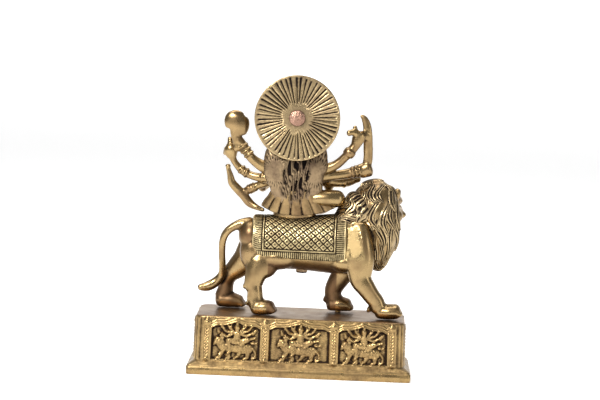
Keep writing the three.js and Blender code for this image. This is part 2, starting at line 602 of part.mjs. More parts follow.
// A calm, regular face of general proportions.
function head() {
  const skull = limb([[0, -3, 65, 5, 4.5], [0, -4, 69, 7.2, 6.6], [0, -3.5, 75, 8.6, 8.4], [0, -3, 82, 9, 9],
    [0, -2, 89, 8, 8]], { sides: 9 });
  const sides = [-1, 1].flatMap((side) => [
    knob([side * 3.5, -11, 79.5], [1.9, 1.2, 1], 5, 3),
  ]);
  return join([skull, ...sides,
    limb([[0, -11.4, 82, 1, 1], [0, -13, 77.6, 1.3, 1.2], [0, -13.4, 75.8, 1.2, 1.9]],
      { sides: 4, turn: Math.PI / 4 }),
    limb([[-2.6, -11.2, 72.3, 0.6, 0.6], [0, -12.2, 72.4, 1, 1.1], [2.6, -11.2, 72.3, 0.6, 0.6]],
      { sides: 4 }),
    knob([0, -9.8, 68.6], [2.8, 2, 2], 6, 3),
  ]);
}

function crown() {
  const profile = [[0, 86], [9.8, 86], [10.8, 90], [8.6, 93], [9, 97], [6, 103], [6.2, 107], [3.4, 114],
    [3.6, 117], [0, 124]];
  const turned = new THREE.LatheGeometry(profile.map(([r, z]) => new THREE.Vector2(r, z)), 10);
  return solid(turned.rotateX(Math.PI / 2).translate(0, -2, 0));
}

function necklace(radius, height, drop) {
  const ring = new THREE.TorusGeometry(radius, 1.4, 3, 12);
  return solid(ring.scale(1, 0.9, 1).rotateX(drop).translate(0, -2, height));
}

// The stud behind the head that the halo's rivet is set in, from her station to the halo.
const HALO_STATION = [0.5, 20, 97.3];

function haloStud() {
  const [x, y, z] = HALO_STATION;
  const length = y + 2 - GAP / durgaUnit;
  const stud = new THREE.CylinderGeometry(5.2, 7.8, length, 8);
  return solid(stud.translate(x, length / 2 - 2, z));
}

function durgaBody() {
  return join([
    limb(CHEST, { sides: 8 }),
    backHair(),
    skirt(),
    ...THIGHS.map((part) => limb(part)),
    ...Object.values(ARMS).map((arm) => limb(arm, { sides: 5 })),
    ...HANDS.map((hand) => limb(hand, { sides: 5 })),
    limb(PADDLE),
    limb(BOW, { sides: 5 }),
    limb(BLADE, { sides: 4 }),
    ...[-1, 1].map((side) => knob([side * 8, -8, 43], [6.6, 6, 6.4], 7, 4)),
    necklace(13.5, 49, -0.7),
    head(),
    crown(),
    haloStud(),
  ]);
}

// Halo and small parts

// A disc lying in the XZ plane, with narrow radial flutes cut in its back.
function haloDisc() {
  const rim = HALO_DIAMETER / 2;
  const hole = RIVET_SHANK / 2 + GAP;
  const profile = [[hole, 0], [rim, 0], [rim, HALO_THICKNESS], [hole, HALO_THICKNESS], [hole, 0]];
  const disc = solid(new THREE.LatheGeometry(profile.map(([r, h]) => new THREE.Vector2(r, h)), HALO_SIDES));
  const from = HALO_RING / 2;
  const to = rim - HALO_RIM;
  const length = to - from;
  const flutes = Array.from({ length: FLUTE_COUNT }, (_, flute) => {
    const wedge = new THREE.ConeGeometry(1, length, 3).rotateY(Math.PI);
    wedge.scale(FLUTE_WIDTH, 1, FLUTE_DEPTH).rotateZ(Math.PI / 2).translate(from + length / 2, 0, 0);
    wedge.rotateX(-Math.PI / 2).rotateY((flute + 0.5) / FLUTE_COUNT * 2 * Math.PI);
    return solid(wedge.translate(0, HALO_THICKNESS, 0));
  });
  return cut(disc, flutes);
}

// A domed boss on a short shank through the halo.
function rivet() {
  const head = RIVET_HEAD / 2;
  const seat = HALO_THICKNESS + GAP;
  const profile = [[0, 0], [RIVET_SHANK / 2, 0], [RIVET_SHANK / 2, seat], [head, seat], [head, seat + RIVET_HEIGHT * 0.4],
    [head * 0.8, seat + RIVET_HEIGHT * 0.85], [0, seat + RIVET_HEIGHT]];
  return solid(new THREE.LatheGeometry(profile.map(([r, h]) => new THREE.Vector2(r, h)), 20));
}

const nutPlace = [1, 0];
const nutSeat = 46;
const nutTop = PLINTH_HEIGHT + nutSeat * lionUnit;

function nut() {
  const wide = NUT_ACROSS / 2;
  const profile = [[0, 0], [wide * 0.86, 0], [wide, NUT_HEIGHT * 0.35], [wide, NUT_HEIGHT], [0, NUT_HEIGHT]];
  const turned = new THREE.LatheGeometry(profile.map(([r, h]) => new THREE.Vector2(r, h)), 6);
  return solid(turned.rotateX(Math.PI / 2).translate(nutPlace[0], nutPlace[1], nutTop - GAP - NUT_HEIGHT));
}

// The flat that the nut bears on, cut into the belly.
function nutFlat() {
  return box(NUT_ACROSS + 2, NUT_ACROSS + 2, 20, nutPlace[0], nutPlace[1], nutTop - 10);
}

const spacerPlace = [-37, -18];

function spacer() {
  const disc = new THREE.CylinderGeometry(SPACER_DIAMETER / 2, SPACER_DIAMETER / 2, SPACER_HEIGHT, 12);
  const height = PLINTH_HEIGHT + GAP + SPACER_HEIGHT / 2;
  return solid(disc.rotateX(Math.PI / 2).translate(spacerPlace[0] * lionUnit, spacerPlace[1] * lionUnit, height));
}

// Materials

function brass(color, roughness) {
  return new THREE.MeshStandardMaterial({ color, roughness, metalness: 1 });
}

function haloPlaced(piece) {
  return piece.translate(HALO_STATION.map((part, axis) => seat[axis] + part * durgaUnit));
}

// Assembly

const lionPlaced = cut(toPlinth(lionBody()), [nutFlat()]);
const durgaPlaced = cut(toSeat(durgaBody()), [toPlinth(riderClearance())]);

const statuette = new THREE.Group();
statuette.add(
  asMesh('plinth', plinth(), brass(0xb5904a, 0.42)),
  asMesh('lion', lionPlaced, brass(0xc2a052, 0.3)),
  asMesh('durga', durgaPlaced, brass(0xb89a55, 0.34)),
  asMesh('halo', haloPlaced(haloDisc()), brass(0xc4aa5e, 0.3)),
  asMesh('halo_rivet', haloPlaced(rivet()), brass(0xb08070, 0.45)),
  asMesh('belly_nut', nut(), brass(0x5d4a38, 0.6)),
  asMesh('paw_spacer', spacer(), brass(0xc9a550, 0.3)),
);

export default statuette;
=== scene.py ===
"""Looks of a cast brass durga statuette: the goddess rides side-saddle on a striding lion, on a
carved box plinth. Sizes are in millimetres, turned to metres where a mesh is made."""

import bpy
import numpy as np
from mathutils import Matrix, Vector


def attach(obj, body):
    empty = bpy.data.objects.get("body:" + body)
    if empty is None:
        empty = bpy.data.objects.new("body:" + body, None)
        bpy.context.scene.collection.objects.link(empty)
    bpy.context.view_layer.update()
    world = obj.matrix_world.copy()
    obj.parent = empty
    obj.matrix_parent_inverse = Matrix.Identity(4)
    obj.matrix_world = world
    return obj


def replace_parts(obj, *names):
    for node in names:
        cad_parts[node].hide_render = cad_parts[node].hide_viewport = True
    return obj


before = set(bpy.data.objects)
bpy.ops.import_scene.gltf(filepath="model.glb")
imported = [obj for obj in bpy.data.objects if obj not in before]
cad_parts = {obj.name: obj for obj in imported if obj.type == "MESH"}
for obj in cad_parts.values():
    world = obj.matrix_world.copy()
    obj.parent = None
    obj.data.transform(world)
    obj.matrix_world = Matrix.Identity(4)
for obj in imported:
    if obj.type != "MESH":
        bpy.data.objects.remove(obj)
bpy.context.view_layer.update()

MM = 0.001
# Between castings that stand on each other
GAP = 0.3
rng = np.random.default_rng(11)

# Driving sizes, the same as the solids'
PLATE_LENGTH, PLATE_WIDTH, PLATE_HEIGHT, PLATE_CORNER = 222, 90, 9.7, 3.5
BEAD_HEIGHT, BEAD_STEP, SLOPE_HEIGHT = 1.4, 1, 4
BODY_LENGTH, BODY_WIDTH, BODY_CORNER, BODY_SPREAD = 207, 78, 9, 0.8
PLINTH_HEIGHT, TOP_ROUNDING, PLINTH_WALL, PLINTH_TOP_WALL = 58.2, 1.8, 5.5, 4
MIDDLE_PANEL, OUTER_PANEL, END_PANEL, PILASTER_WIDTH = 60, 49, 46, 8.6
PANEL_DEPTH, PANEL_SILL, PANEL_HEIGHT, ARCH_RISE = 2.6, 1.2, 35.4, 3.8
HOLLOW_CORNER = 3.5
BODY_FOOT = PLATE_HEIGHT + SLOPE_HEIGHT
SEAT = np.array([10, 0, PLINTH_HEIGHT + 100])
CLOTH_THICKNESS = 1.8
HALO_DIAMETER, HALO_THICKNESS, FLUTE_COUNT = 84.6, 3, 48
HALO_MIDDLE = np.array([10.5, 20, PLINTH_HEIGHT + 197.3])
RIVET_HEAD, RIVET_HEIGHT = 16.2, 2.6

# How finely the skins are drawn: columns on each plinth side, rows up its wall, and the voxel and
# the rounds of softening that melt a casting's parts together
BACK_COLUMNS, FRONT_COLUMNS, END_COLUMNS, CORNER_COLUMNS, WALL_ROWS = 340, 220, 72, 12, 72
LION_VOXEL, LION_SOFTENING = 1.1, 4
DURGA_VOXEL, DURGA_SOFTENING = 0.85, 3

# Lion stations, [x, y, z, half width along y, half width square to it], from the plinth's top
TRUNK = [
    [57, 2, 77, 11, 13], [51, 1, 77, 18.5, 19], [38, 0, 71.5, 22.5, 25.5], [3.5, 0, 70.7, 23.5, 26.3],
    [-31.5, 0, 71.2, 24, 29.3], [-54.5, -1, 73.5, 22, 30], [-67.5, -4, 73.5, 16, 26],
]
LEGS = [
    [[45.5, 4, 80, 9, 14], [43, 7, 63, 12, 19.5], [41.5, 11.5, 50.5, 11.5, 18], [46, 15, 40, 9, 11.4],
     [48, 16, 30, 7.6, 9.4], [46.5, 17, 23.5, 7, 7.8], [46, 17, 16, 7.2, 8.2],
     [44.5, 17.5, 9.5, 7.8, 7.6]],
    [[51, -12, 62, 12, 16], [57.5, -14, 51, 11, 14], [66, -16, 42, 9.8, 11.5],
     [73.5, -18, 34.5, 8.6, 9], [77, -20, 26.5, 7.6, 7.6], [78, -21, 19, 7.6, 8],
     [80, -21.5, 11.5, 8, 8.8]],
    [[-54.5, 10, 90, 10, 10], [-57, 13, 75, 11.5, 12], [-57, 15, 58.5, 11, 14.5],
     [-58, 16, 40.5, 9.6, 11.4], [-64, 17, 31, 9.2, 9.6], [-70, 17, 23, 8.8, 8.6],
     [-74.5, 17, 17.5, 8.6, 8.2], [-77, 17, 11.5, 8.8, 8]],
    [[-48, -12, 57.5, 10, 14], [-42.5, -15, 43.5, 9, 11.5], [-35.5, -17, 31.5, 8.6, 10],
     [-31.5, -18, 22.5, 8.2, 8.8], [-32, -18, 15, 8.2, 8.6], [-34, -18, 10, 8.8, 10]],
]
PAWS = [
    [[45.5, 17.5, 6.5, 8.4, 7], [37.5, 18.5, 7.5, 9.6, 7.8], [30.5, 19, 7.5, 9, 7]],
    [[83, -21.5, 8, 8.6, 7.6], [73, -21.5, 8, 9.6, 8], [63.5, -21.5, 6.5, 9, 6.4]],
    [[-78, 17, 7.5, 9, 7], [-87, 17.5, 8, 10.2, 7.8], [-94.5, 18, 8.5, 9.6, 7.6]],
    [[-30.5, -18, 7.5, 9, 8.2], [-38.5, -18, 8, 10, 8.5], [-46, -18, 7.5, 9.6, 7.2]],
]
# Their numbers in the tables: the near foreleg has flattened faces, the raised paw is the far one
NEAR_FORELEG, RAISED_PAW = 2, 3
SPACER_HEIGHT = 1.4
TAIL = [
    [54.5, 3, 89.5, 6, 6.5], [62.5, 4, 88.5, 5.2, 5.6], [70.5, 5, 85.5, 4.2, 4.4],
    [77.5, 5, 79.5, 3.8, 4], [81, 4, 70.5, 3.6, 3.7], [81.5, 1, 58.5, 3.4, 3.5],
    [81, -4, 46, 3.4, 3.6], [81.5, -9, 35.5, 3.6, 4], [87, -11, 27.5, 4.2, 5],
    [95, -10, 22.5, 4.4, 5.2], [103.5, -8, 21, 3, 3.4],
]
MANE = [
    [-72.5, -5, 50, 8, 6], [-76, -5, 60, 15, 9.5], [-78.5, -5, 78, 20.5, 15.5],
    [-76, -5, 96, 22.5, 19], [-71.5, -5, 113, 21.5, 21], [-68, -6, 126, 16, 18.5],
    [-66.5, -7, 133, 7, 11],
]
NECK = [
    [-35, 0, 84, 14, 13], [-47, -1, 96, 17, 17.5], [-58, -3, 107.5, 18.5, 21],
]
SPURS = [
    [[50, 16, 31, 4, 5], [55.5, 16, 28.5, 3, 3.4], [57.5, 16, 26, 1.6, 2]],
    [[47, 17, 13, 4, 4], [52, 17, 11.5, 3.4, 3], [54.5, 17, 9.5, 1.6, 1.8]],
    [[-28, -18, 15, 4, 4], [-24.5, -18, 13.5, 3, 3], [-22.5, -18, 11, 1.6, 1.8]],
    [[-75, 17, 12, 4, 4], [-69, 17, 10, 3.2, 3.2], [-66.5, 17, 7.5, 1.8, 2]],
]
# Flesh under the hide, each a ball [middle, half widths]
FLESH = [
    [[50, 7, 62], [13.5, 13.5, 20]], [[53, 3, 78], [12.5, 16.5, 16]], [[26, 9, 57], [22, 14.5, 12.5]],
    [[-42, 9, 55], [18, 14.5, 11]], [[50, -9, 58], [12, 12, 16]],
]
FACE_TURN = np.radians(38)
FACE_MIDDLE = np.array([-79.5, -20, 106])
CLOTH_LEFT, CLOTH_RIGHT, CLOTH_FOOT_LEFT, CLOTH_FOOT_RIGHT = 51.5, -43, 57.5, 55.5
FIELD_LEFT, FIELD_RIGHT, FIELD_FOOT = 40.5, -32, 65.5

# Durga stations, from her seat on the cloth
HAIR = [
    [-1, 5, 75, 5, 20], [-1, 6, 66, 7, 29], [0.5, 7.5, 54, 8.5, 32], [1, 7.5, 42, 8.5, 31],
    [-0.5, 7, 31, 8, 27], [-1.5, 5.5, 22, 7, 25.5], [-2, 4.5, 13, 6, 23], [-2, 4, 7, 5, 16],
]
CHEST = [
    [0, -1.5, -2, 10, 22], [0, -0.5, 12, 9.5, 17], [0, 0, 26, 10, 14.5], [0, 0, 42, 12, 20],
    [0, 1, 52, 10, 22], [0, 1, 60, 6, 9], [0, 0, 68, 5, 5.5],
]
ARMS = [
    [[22.5, 2, 45.5, 7, 8], [33, 3, 47, 5.6, 6.2], [44, 4, 54, 4.4, 4.8], [50.4, 5, 62, 4.4, 4.8],
     [55, 5, 68, 4.4, 5], [59.5, 5, 73, 4.4, 5.2]],
    [[24, 1, 35, 6, 6], [37, -2, 35.4, 4.2, 4.4], [46, -4, 37.2, 3.8, 4], [52.5, -5, 40.5, 4.2, 4.4],
     [57.5, -5, 44.2, 3.6, 3.8], [62, -5, 49.5, 3.2, 3.3], [64.8, -5, 54.5, 3.6, 3.8]],
    [[23, -3, 32.5, 5.2, 5], [32, -5, 29, 4, 4.2], [40.6, -7, 25.6, 3.8, 4], [49, -9, 21, 4, 4.3]],
    [[20, -2, 47, 5.5, 5.5], [31, -8, 33, 4.8, 4.8], [34, -14, 24, 4.2, 4.2], [29, -23, 27, 3.6, 3.6],
     [24, -29, 31, 3.4, 3.6]],
    [[-25.5, 2, 45.5, 6, 6.2], [-36, 3, 49.5, 4.8, 5], [-42, 4, 53.5, 4.4, 4.6],
     [-48, 5, 59.5, 4.2, 4.4], [-53, 5, 65, 4.4, 4.8], [-57.5, 5, 71, 4.2, 4.8],
     [-60, 5, 77, 4.6, 6.2], [-62, 5, 82.5, 4.6, 6]],
    [[-24, -1, 38.5, 6, 6.4], [-36, -2, 40, 5, 5.2], [-46.5, -3, 41.5, 4.8, 5],
     [-55, -4, 43.5, 5, 5.4], [-62, -4, 45.5, 5, 6]],
    [[-26, -8, 34, 5.6, 5.6], [-38, -12, 32.5, 5, 5], [-50, -15, 33, 4.8, 5],
     [-57, -17, 35.5, 4.6, 4.8]],
    [[-20, -2, 47, 5.5, 5.5], [-30, -8, 34, 4.8, 4.8], [-33, -15, 26, 4.2, 4.2],
     [-28, -23, 33, 3.6, 3.6], [-24, -27, 40, 3.2, 3.4]],
]
HANDS = [
    [[65.5, -5, 56, 4.6, 5.4], [66.2, -5, 60, 5.6, 7], [66.4, -5, 64.5, 5.4, 6.6],
     [67.2, -5, 69, 3, 3.2]],
    [[67.4, -6, 70.5, 2.6, 2.8], [67.6, -6, 73, 2.6, 2.8]],
    [[71.5, -7, 57.5, 2.8, 3], [70.5, -7, 62.5, 3, 3.4]],
    [[54, 5, 66, 4.2, 4.6], [60.5, 5, 65, 4.2, 4.6]],
    [[-60, 6, 83, 3.4, 3.6], [-54.5, 7, 84.5, 3, 3.2], [-50.5, 8, 83.5, 2.8, 3]],
    [[-58, 6, 86.5, 2, 2], [-56.5, 6, 90, 2, 2.2]],
    [[-62, 4, 81.5, 3.4, 4.8], [-70, 0, 81, 2.6, 5]],
    [[-65, -4, 45.5, 5.6, 7.4], [-72, -4, 48, 5.8, 8]],
    [[24, -29, 31, 3.4, 4.2], [19, -32, 32, 2, 3.6]],
    [[-24, -28, 41, 2.6, 4.4], [-24, -29, 47, 2.2, 4.6], [-24, -29.5, 54, 1.5, 3.4]],
    [[-57, -17, 36, 4.6, 4.8], [-62, -18, 37, 4, 4.4]],
]
PADDLE = [
    [59, 5, 68, 4, 4.5], [60.3, 5, 74, 4, 5], [60.8, 5, 78, 4.2, 6.2], [59.6, 5, 82.5, 4.8, 10],
    [59.8, 5, 87, 5.2, 11.8], [61.1, 5, 91.5, 5.2, 12.4], [60.8, 5, 96.5, 4.6, 10.6],
    [60, 5, 100, 2.8, 6],
]
BOW = [
    [69, -9, 45.5, 2.6, 2.8], [68.6, -9, 42.5, 2.2, 2.4], [66.5, -9, 36, 2.8, 3.2],
    [64.3, -9, 28.5, 3.2, 4.2], [59, -9, 22.6, 3.8, 4.6], [52.2, -9, 15.8, 4, 4.6],
    [46, -8, 8.8, 3.8, 4.4], [38.9, -5, 5, 2.8, 3], [31.8, 0, 3, 2, 2],
]
BLADE = [
    [-70.5, -4, 53, 3.6, 4.8], [-71, -3, 60, 2.8, 4.8], [-70.5, -2, 73, 2.5, 4.8],
    [-69.5, 0, 86, 2.3, 4.6], [-68, 0, 93.5, 2.1, 4], [-65.5, 0, 98.5, 1.8, 3.1],
    [-62.5, 0, 101, 1.2, 1.7],
]
# Bangles, [middle, direction of the arm, radius]
BANDS = [
    [[47.8, 4.6, 58.6], [5, 0, 6.5], 5.2], [[50.8, 5, 62.4], [4.6, 0, 6.5], 5.4],
    [[54, 5, 66.4], [4.4, 0, 6.5], 5.3], [[33.5, -1.5, 35.3], [8, -1, 0], 5.2],
    [[49.8, -4.6, 39.2], [7, -1, 3], 4.8], [[55, -5, 42.4], [5, 0, 4], 4.5],
    [[46.5, -8.6, 22.4], [8, -1, -4.6], 4.5], [[44, -8, 23.7], [8, -1, -4.6], 4.4],
    [[41.5, -7.2, 25.1], [8, -1, -4.6], 4.3], [[-50.5, 5, 62], [-4.8, 0, 6], 5.1],
    [[-52, 5, 63.8], [-4.8, 0, 6], 5.5], [[-53.4, 5, 65.6], [-4.5, 0, 6], 5.3],
    [[-56.5, -4, 43.8], [-7, 0, 2], 5.6], [[-60, -4, 44.8], [-7, 0, 2], 5.9],
    [[-63.5, -4, 45.4], [-7, 0, 2], 6.3], [[-48, -14.5, 32.9], [-8, -3, 0], 5.3],
]
THIGHS = [
    [[-8, 0, 11, 8, 8], [-20, 2.5, 16.5, 8.5, 8], [-31, 3, 17.3, 9, 8.8],
     [-41.5, 1.5, 17.2, 8.4, 8.8]],
    [[-36, -9, 14, 7.5, 7.5], [-26, -20, 6, 7, 7], [-12, -28, 3, 6, 6], [0, -30, 1, 5, 4.5],
     [9, -31, 0, 4.6, 3.4]],
    [[6, -4, 4, 12, 11], [12, -18, 4, 11, 10], [15, -29, 1, 9, 9]],
    [[15, -31, 1, 8, 8.5], [13, -34, -14, 6.5, 7.5], [11, -35, -30, 5, 5.5], [10, -35.5, -43, 4, 4.5]],
    [[10, -35, -45, 4, 4.4], [8, -38, -49, 3.6, 4.4], [5, -41, -51.5, 2.6, 3.8]],
]
# The skirt's hem, [x, height over the seat]
HEM = [
    [-50, 15], [-45, 11.7], [-39, 7.6], [-30.5, 4.2], [-19.5, 1.3], [-2, -0.8], [13.5, 0.1],
    [24, 2.6], [31, 6], [40, 11],
]


# Shapes as grids of points

NO_TRIANGLES = np.zeros((0, 3), int)
X_AXIS = (1, 0, 0)


def smoothstep(value, low, high):
    """0 below low, 1 above high, and 3s^2 - 2s^3 between."""
    s = np.clip((value - low) / (high - low), 0, 1)
    return s * s * (3 - 2 * s)


def unit(vectors):
    return vectors / np.linalg.norm(vectors, axis=-1, keepdims=True)


def spline(stations, t):
    """A smooth curve through the stations: between two of them a cubic whose end slopes are half
    the step from the station before to the one after; t runs 0 to 1 over all of them."""
    p = np.asarray(stations, float)
    p = np.vstack([2 * p[0] - p[1], p, 2 * p[-1] - p[-2]])
    spans = len(stations) - 1
    s = np.clip(t, 0, 1) * spans
    i = np.minimum(s.astype(int), spans - 1)
    f = (s - i)[..., None]
    a, b, c, d = p[i], p[i + 1], p[i + 2], p[i + 3]
    bend, twist = 2 * a - 5 * b + 4 * c - d, 3 * b - a - 3 * c + d
    return 0.5 * (2 * b + (c - a) * f + bend * f ** 2 + twist * f ** 3)


def limb(stations, sides=28, per=7, across=(0, 1, 0), dome=0.7, caps=6, relief=None, square=1.0):
    """A closed tube: middle(t) + a(t) cos(u) side + b(t) sin(u) over, with side the direction
    `across` made square to the path. Both ends close as domes: the widths shrink with a sine and
    the ring moves outward with a cosine. relief(t, u, point) is added to both half widths. A
    square below 1 takes the cosine and sine to that power, which flattens the faces."""
    rings = per * (len(stations) - 1)
    row = np.arange(rings + 2 * caps + 1)
    t = np.clip((row - caps) / rings, 0, 1)
    closing = np.minimum(np.minimum(row, row[::-1]) / caps, 1) * np.pi / 2
    outward = np.where(row < caps, -1, 1)
    values = spline(stations, t)
    middle, a, b = values[:, None, :3], values[:, None, 3:4], values[:, None, 4:5]
    along = unit((spline(stations, t + 1e-3) - spline(stations, t - 1e-3))[:, :3])[:, None]
    across = np.asarray(across, float)
    side = unit(across - (along @ across)[..., None] * along)
    over = np.cross(along, side)
    u = (2 * np.pi * np.arange(sides) / sides)[None, :, None]
    cu, su = [np.sign(wave) * np.abs(wave) ** square for wave in (np.cos(u), np.sin(u))]
    swell = np.sin(closing)[:, None, None]
    push = (outward * dome * np.cos(closing))[:, None, None] * np.minimum(a, b) * along
    lift = 0
    if relief is not None:
        plain = middle + a * swell * cu * side + b * swell * su * over
        t_grid = np.broadcast_to(t[:, None], plain.shape[:2])
        u_grid = np.broadcast_to(u[..., 0], plain.shape[:2])
        lift = relief(t_grid, u_grid, plain)[..., None]
    return middle + (a + lift) * swell * cu * side + (b + lift) * swell * su * over + push


def mirrored(stations, side):
    """Stations given for the +X side, on that side or, where side is -1, on the other."""
    return np.array(stations, float) * [side, 1, 1, 1, 1]


def knob(middle, half, around=20, down=12):
    """A ball pressed to three half widths."""
    v = (np.pi * np.arange(down + 1) / down)[:, None]
    u = (2 * np.pi * np.arange(around) / around)[None]
    ball = np.stack([np.sin(v) * np.cos(u), np.sin(v) * np.sin(u), np.cos(v) + 0 * u], -1)
    return np.asarray(middle) + ball * np.asarray(half)


def ring(middle, direction, radius, thickness, around=36, section=12):
    """A bangle: a closed disc square to the direction. Its rim stands out of the arm, rounded like
    a bar of that thickness, and its two faces stay inside the arm."""
    along = unit(np.asarray(direction, float))
    side = unit(np.cross(along, [0.3, 1, 0.2]))
    over = np.cross(along, side)
    v = (np.pi * np.arange(section + 1) / section)[:, None, None]
    u = (2 * np.pi * np.arange(around) / around)[None, :, None]
    spoke = np.cos(u) * side + np.sin(u) * over
    reach = np.sin(v) * thickness + radius * smoothstep(np.sin(v), 0, 0.3)
    return np.asarray(middle) + reach * spoke + np.cos(v) * thickness * 1.1 * along


def tube_faces(rows, sides):
    """Faces of a grid that closes round its columns and ends in a point at both ends: quads
    between neighbouring rows and a fan at each end."""
    i, j = np.meshgrid(np.arange(rows - 3), np.arange(sides), indexing="ij")
    k = (j + 1) % sides
    here, onward = 1 + i * sides, 1 + (i + 1) * sides
    quads = np.stack([here + j, here + k, onward + k, onward + j], -1).reshape(-1, 4)
    j = np.arange(sides)
    k = (j + 1) % sides
    last_row = 1 + (rows - 3) * sides
    fans = [np.stack([0 * j, 1 + k, 1 + j], -1),
            np.stack([0 * j + last_row + sides, last_row + j, last_row + k], -1)]
    return quads, np.vstack(fans)


def tube(grid, values=None):
    """Points and faces of one closed grid, turned so that its faces look outward; values are one
    number for each grid point."""
    rows, sides = grid.shape[:2]
    points = np.vstack([grid[0].mean(0, keepdims=True), grid[1:-1].reshape(-1, 3),
                        grid[-1].mean(0, keepdims=True)])
    quads, fans = tube_faces(rows, sides)
    if signed_volume(points, quads, fans) < 0:
        quads, fans = quads[:, ::-1], fans[:, ::-1]
    marks = np.zeros(len(points)) if values is None else np.concatenate(
        [[values[0].mean()], values[1:-1].ravel(), [values[-1].mean()]])
    return points, quads, fans, marks


def ended(grid, first, last, marks, place):
    """A closed skin from a grid, with the points first and last as its ends, moved to its place."""
    ends = [np.broadcast_to(end, (1, grid.shape[1], 3)) for end in (first, last)]
    whole = np.concatenate([ends[0], grid, ends[1]]) + place
    return tube(whole, np.vstack([marks[:1], marks, marks[-1:]]))


def signed_volume(points, quads, fans):
    """Six times the enclosed volume, above 0 where the faces look outward: the sum of
    a . (b x c) over the triangles."""
    triangles = np.vstack([quads[:, :3], quads[:, [0, 2, 3]], fans])
    a, b, c = points[triangles[:, 0]], points[triangles[:, 1]], points[triangles[:, 2]]
    return np.einsum("ij,ij->i", a, np.cross(b, c)).sum()


def pillow(outer, inner, values):
    """A closed skin from two grids of the same size joined round their borders."""
    n, m = outer.shape[:2]
    ids = np.arange(n * m).reshape(n, m)

    def quads(a):
        return np.stack([a[:-1, :-1], a[:-1, 1:], a[1:, 1:], a[1:, :-1]], -1).reshape(-1, 4)

    border = np.concatenate([ids[0, :-1], ids[:-1, -1], ids[-1, :0:-1], ids[:0:-1, 0]])
    onward = np.roll(border, -1)
    far = n * m
    rim = np.stack([border, border + far, onward + far, onward], -1)
    points = np.vstack([outer.reshape(-1, 3), inner.reshape(-1, 3)])
    faces = np.vstack([quads(ids), quads(ids)[:, ::-1] + far, rim])
    if signed_volume(points, faces, NO_TRIANGLES) < 0:
        faces = faces[:, ::-1]
    return points, faces, NO_TRIANGLES, np.concatenate([values.ravel(), values.ravel()])


def gather(parts):
    """Several closed skins in one list of points and faces."""
    points, quads, fans, marks, start = [], [], [], [], 0
    for p, q, f, m in parts:
        points.append(p)
        quads.append(q + start)
        fans.append(f + start)
        marks.append(m)
        start += len(p)
    return np.vstack(points), np.vstack(quads), np.vstack(fans), np.concatenate(marks)


def make_mesh(name, points, quads, fans):
    mesh = bpy.data.meshes.new(name)
    mesh.from_pydata((points * MM).tolist(), [], quads.tolist() + fans.tolist())
    mesh.polygons.foreach_set("use_smooth", np.ones(len(mesh.polygons), bool))
    mesh.update()
    return mesh


def one_body(parts, voxel, soften):
    """Overlapping closed skins melted into one by a voxel remesh, then softened: the same points
    and quads as arrays, in millimetres."""
    points, quads, fans, _ = gather([tube(part) for part in parts])
    holder = bpy.data.objects.new("melt", make_mesh("melt", points, quads, fans))
    bpy.context.scene.collection.objects.link(holder)
    remesh = holder.modifiers.new("melt", "REMESH")
    remesh.mode = "VOXEL"
    remesh.voxel_size = voxel * MM
    remesh.adaptivity = 0
    smooth = holder.modifiers.new("soften", "SMOOTH")
    smooth.factor = 0.5
    smooth.iterations = soften
    melted = holder.evaluated_get(bpy.context.evaluated_depsgraph_get()).to_mesh()
    places = np.empty(len(melted.vertices) * 3)
    melted.vertices.foreach_get("co", places)
    corners = np.empty(len(melted.polygons) * 4, int)
    melted.polygons.foreach_get("vertices", corners)
    bpy.data.objects.remove(holder)
    return places.reshape(-1, 3) / MM, corners.reshape(-1, 4)


def neighbour_mean(points, quads, rounds):
    """Each point moved to the mean of itself and its neighbours, several times."""
    a = quads.ravel()
    b = np.roll(quads, -1, 1).ravel()
    n = len(points)
    count = np.bincount(a, minlength=n) + np.bincount(b, minlength=n) + 1
    moved = points.copy()
    for _ in range(rounds):
        total = [np.bincount(a, moved[b, k], n) + np.bincount(b, moved[a, k], n) + moved[:, k]
                 for k in range(3)]
        moved = np.stack(total, -1) / count[:, None]
    return moved


def point_normals(points, quads):
    """Mean normal of the faces round each point, each face by its area."""
    corner = points[quads]
    flat = np.cross(corner[:, 2] - corner[:, 0], corner[:, 3] - corner[:, 1])
    total = [np.bincount(quads.ravel(), np.repeat(flat[:, k], 4), len(points)) for k in range(3)]
    return unit(np.stack(total, -1) + 1e-12)


def hollows(points, quads, rounds, gain):
    """How deep each point lies in a hollow: how far its neighbours' mean stands out beyond it."""
    out = neighbour_mean(points, quads, rounds) - points
    return np.einsum("ij,ij->i", out, point_normals(points, quads)) * gain


def add_piece(name, skin, material, tone_and_painted_light=None):
    """A Blender object from a skin, which is points, quads, triangles and the darkness of each
    point, -0.5 to 1: patina in hollows and, on some pieces, painted shade and a painted highlight.
    The last argument, 0 to 1, is how brown its tone is; on the lion it also holds painted shade
    and a painted highlight."""
    points, quads, fans, marks = skin
    mesh = make_mesh(name, points, quads, fans)
    shades = {"patina_and_painted_light": np.clip(marks, -0.5, 1)}
    if tone_and_painted_light is not None:
        shades["tone_and_painted_light"] = np.clip(np.broadcast_to(tone_and_painted_light, len(points)), 0, 1)
    for kind, values in shades.items():
        layer = mesh.attributes.new(kind, "FLOAT", "POINT")
        layer.data.foreach_set("value", values.astype(np.float32))
    mesh.materials.append(material)
    piece = bpy.data.objects.new(name, mesh)
    bpy.context.scene.collection.objects.link(piece)
    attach(piece, "root")
    return piece


# Finishes


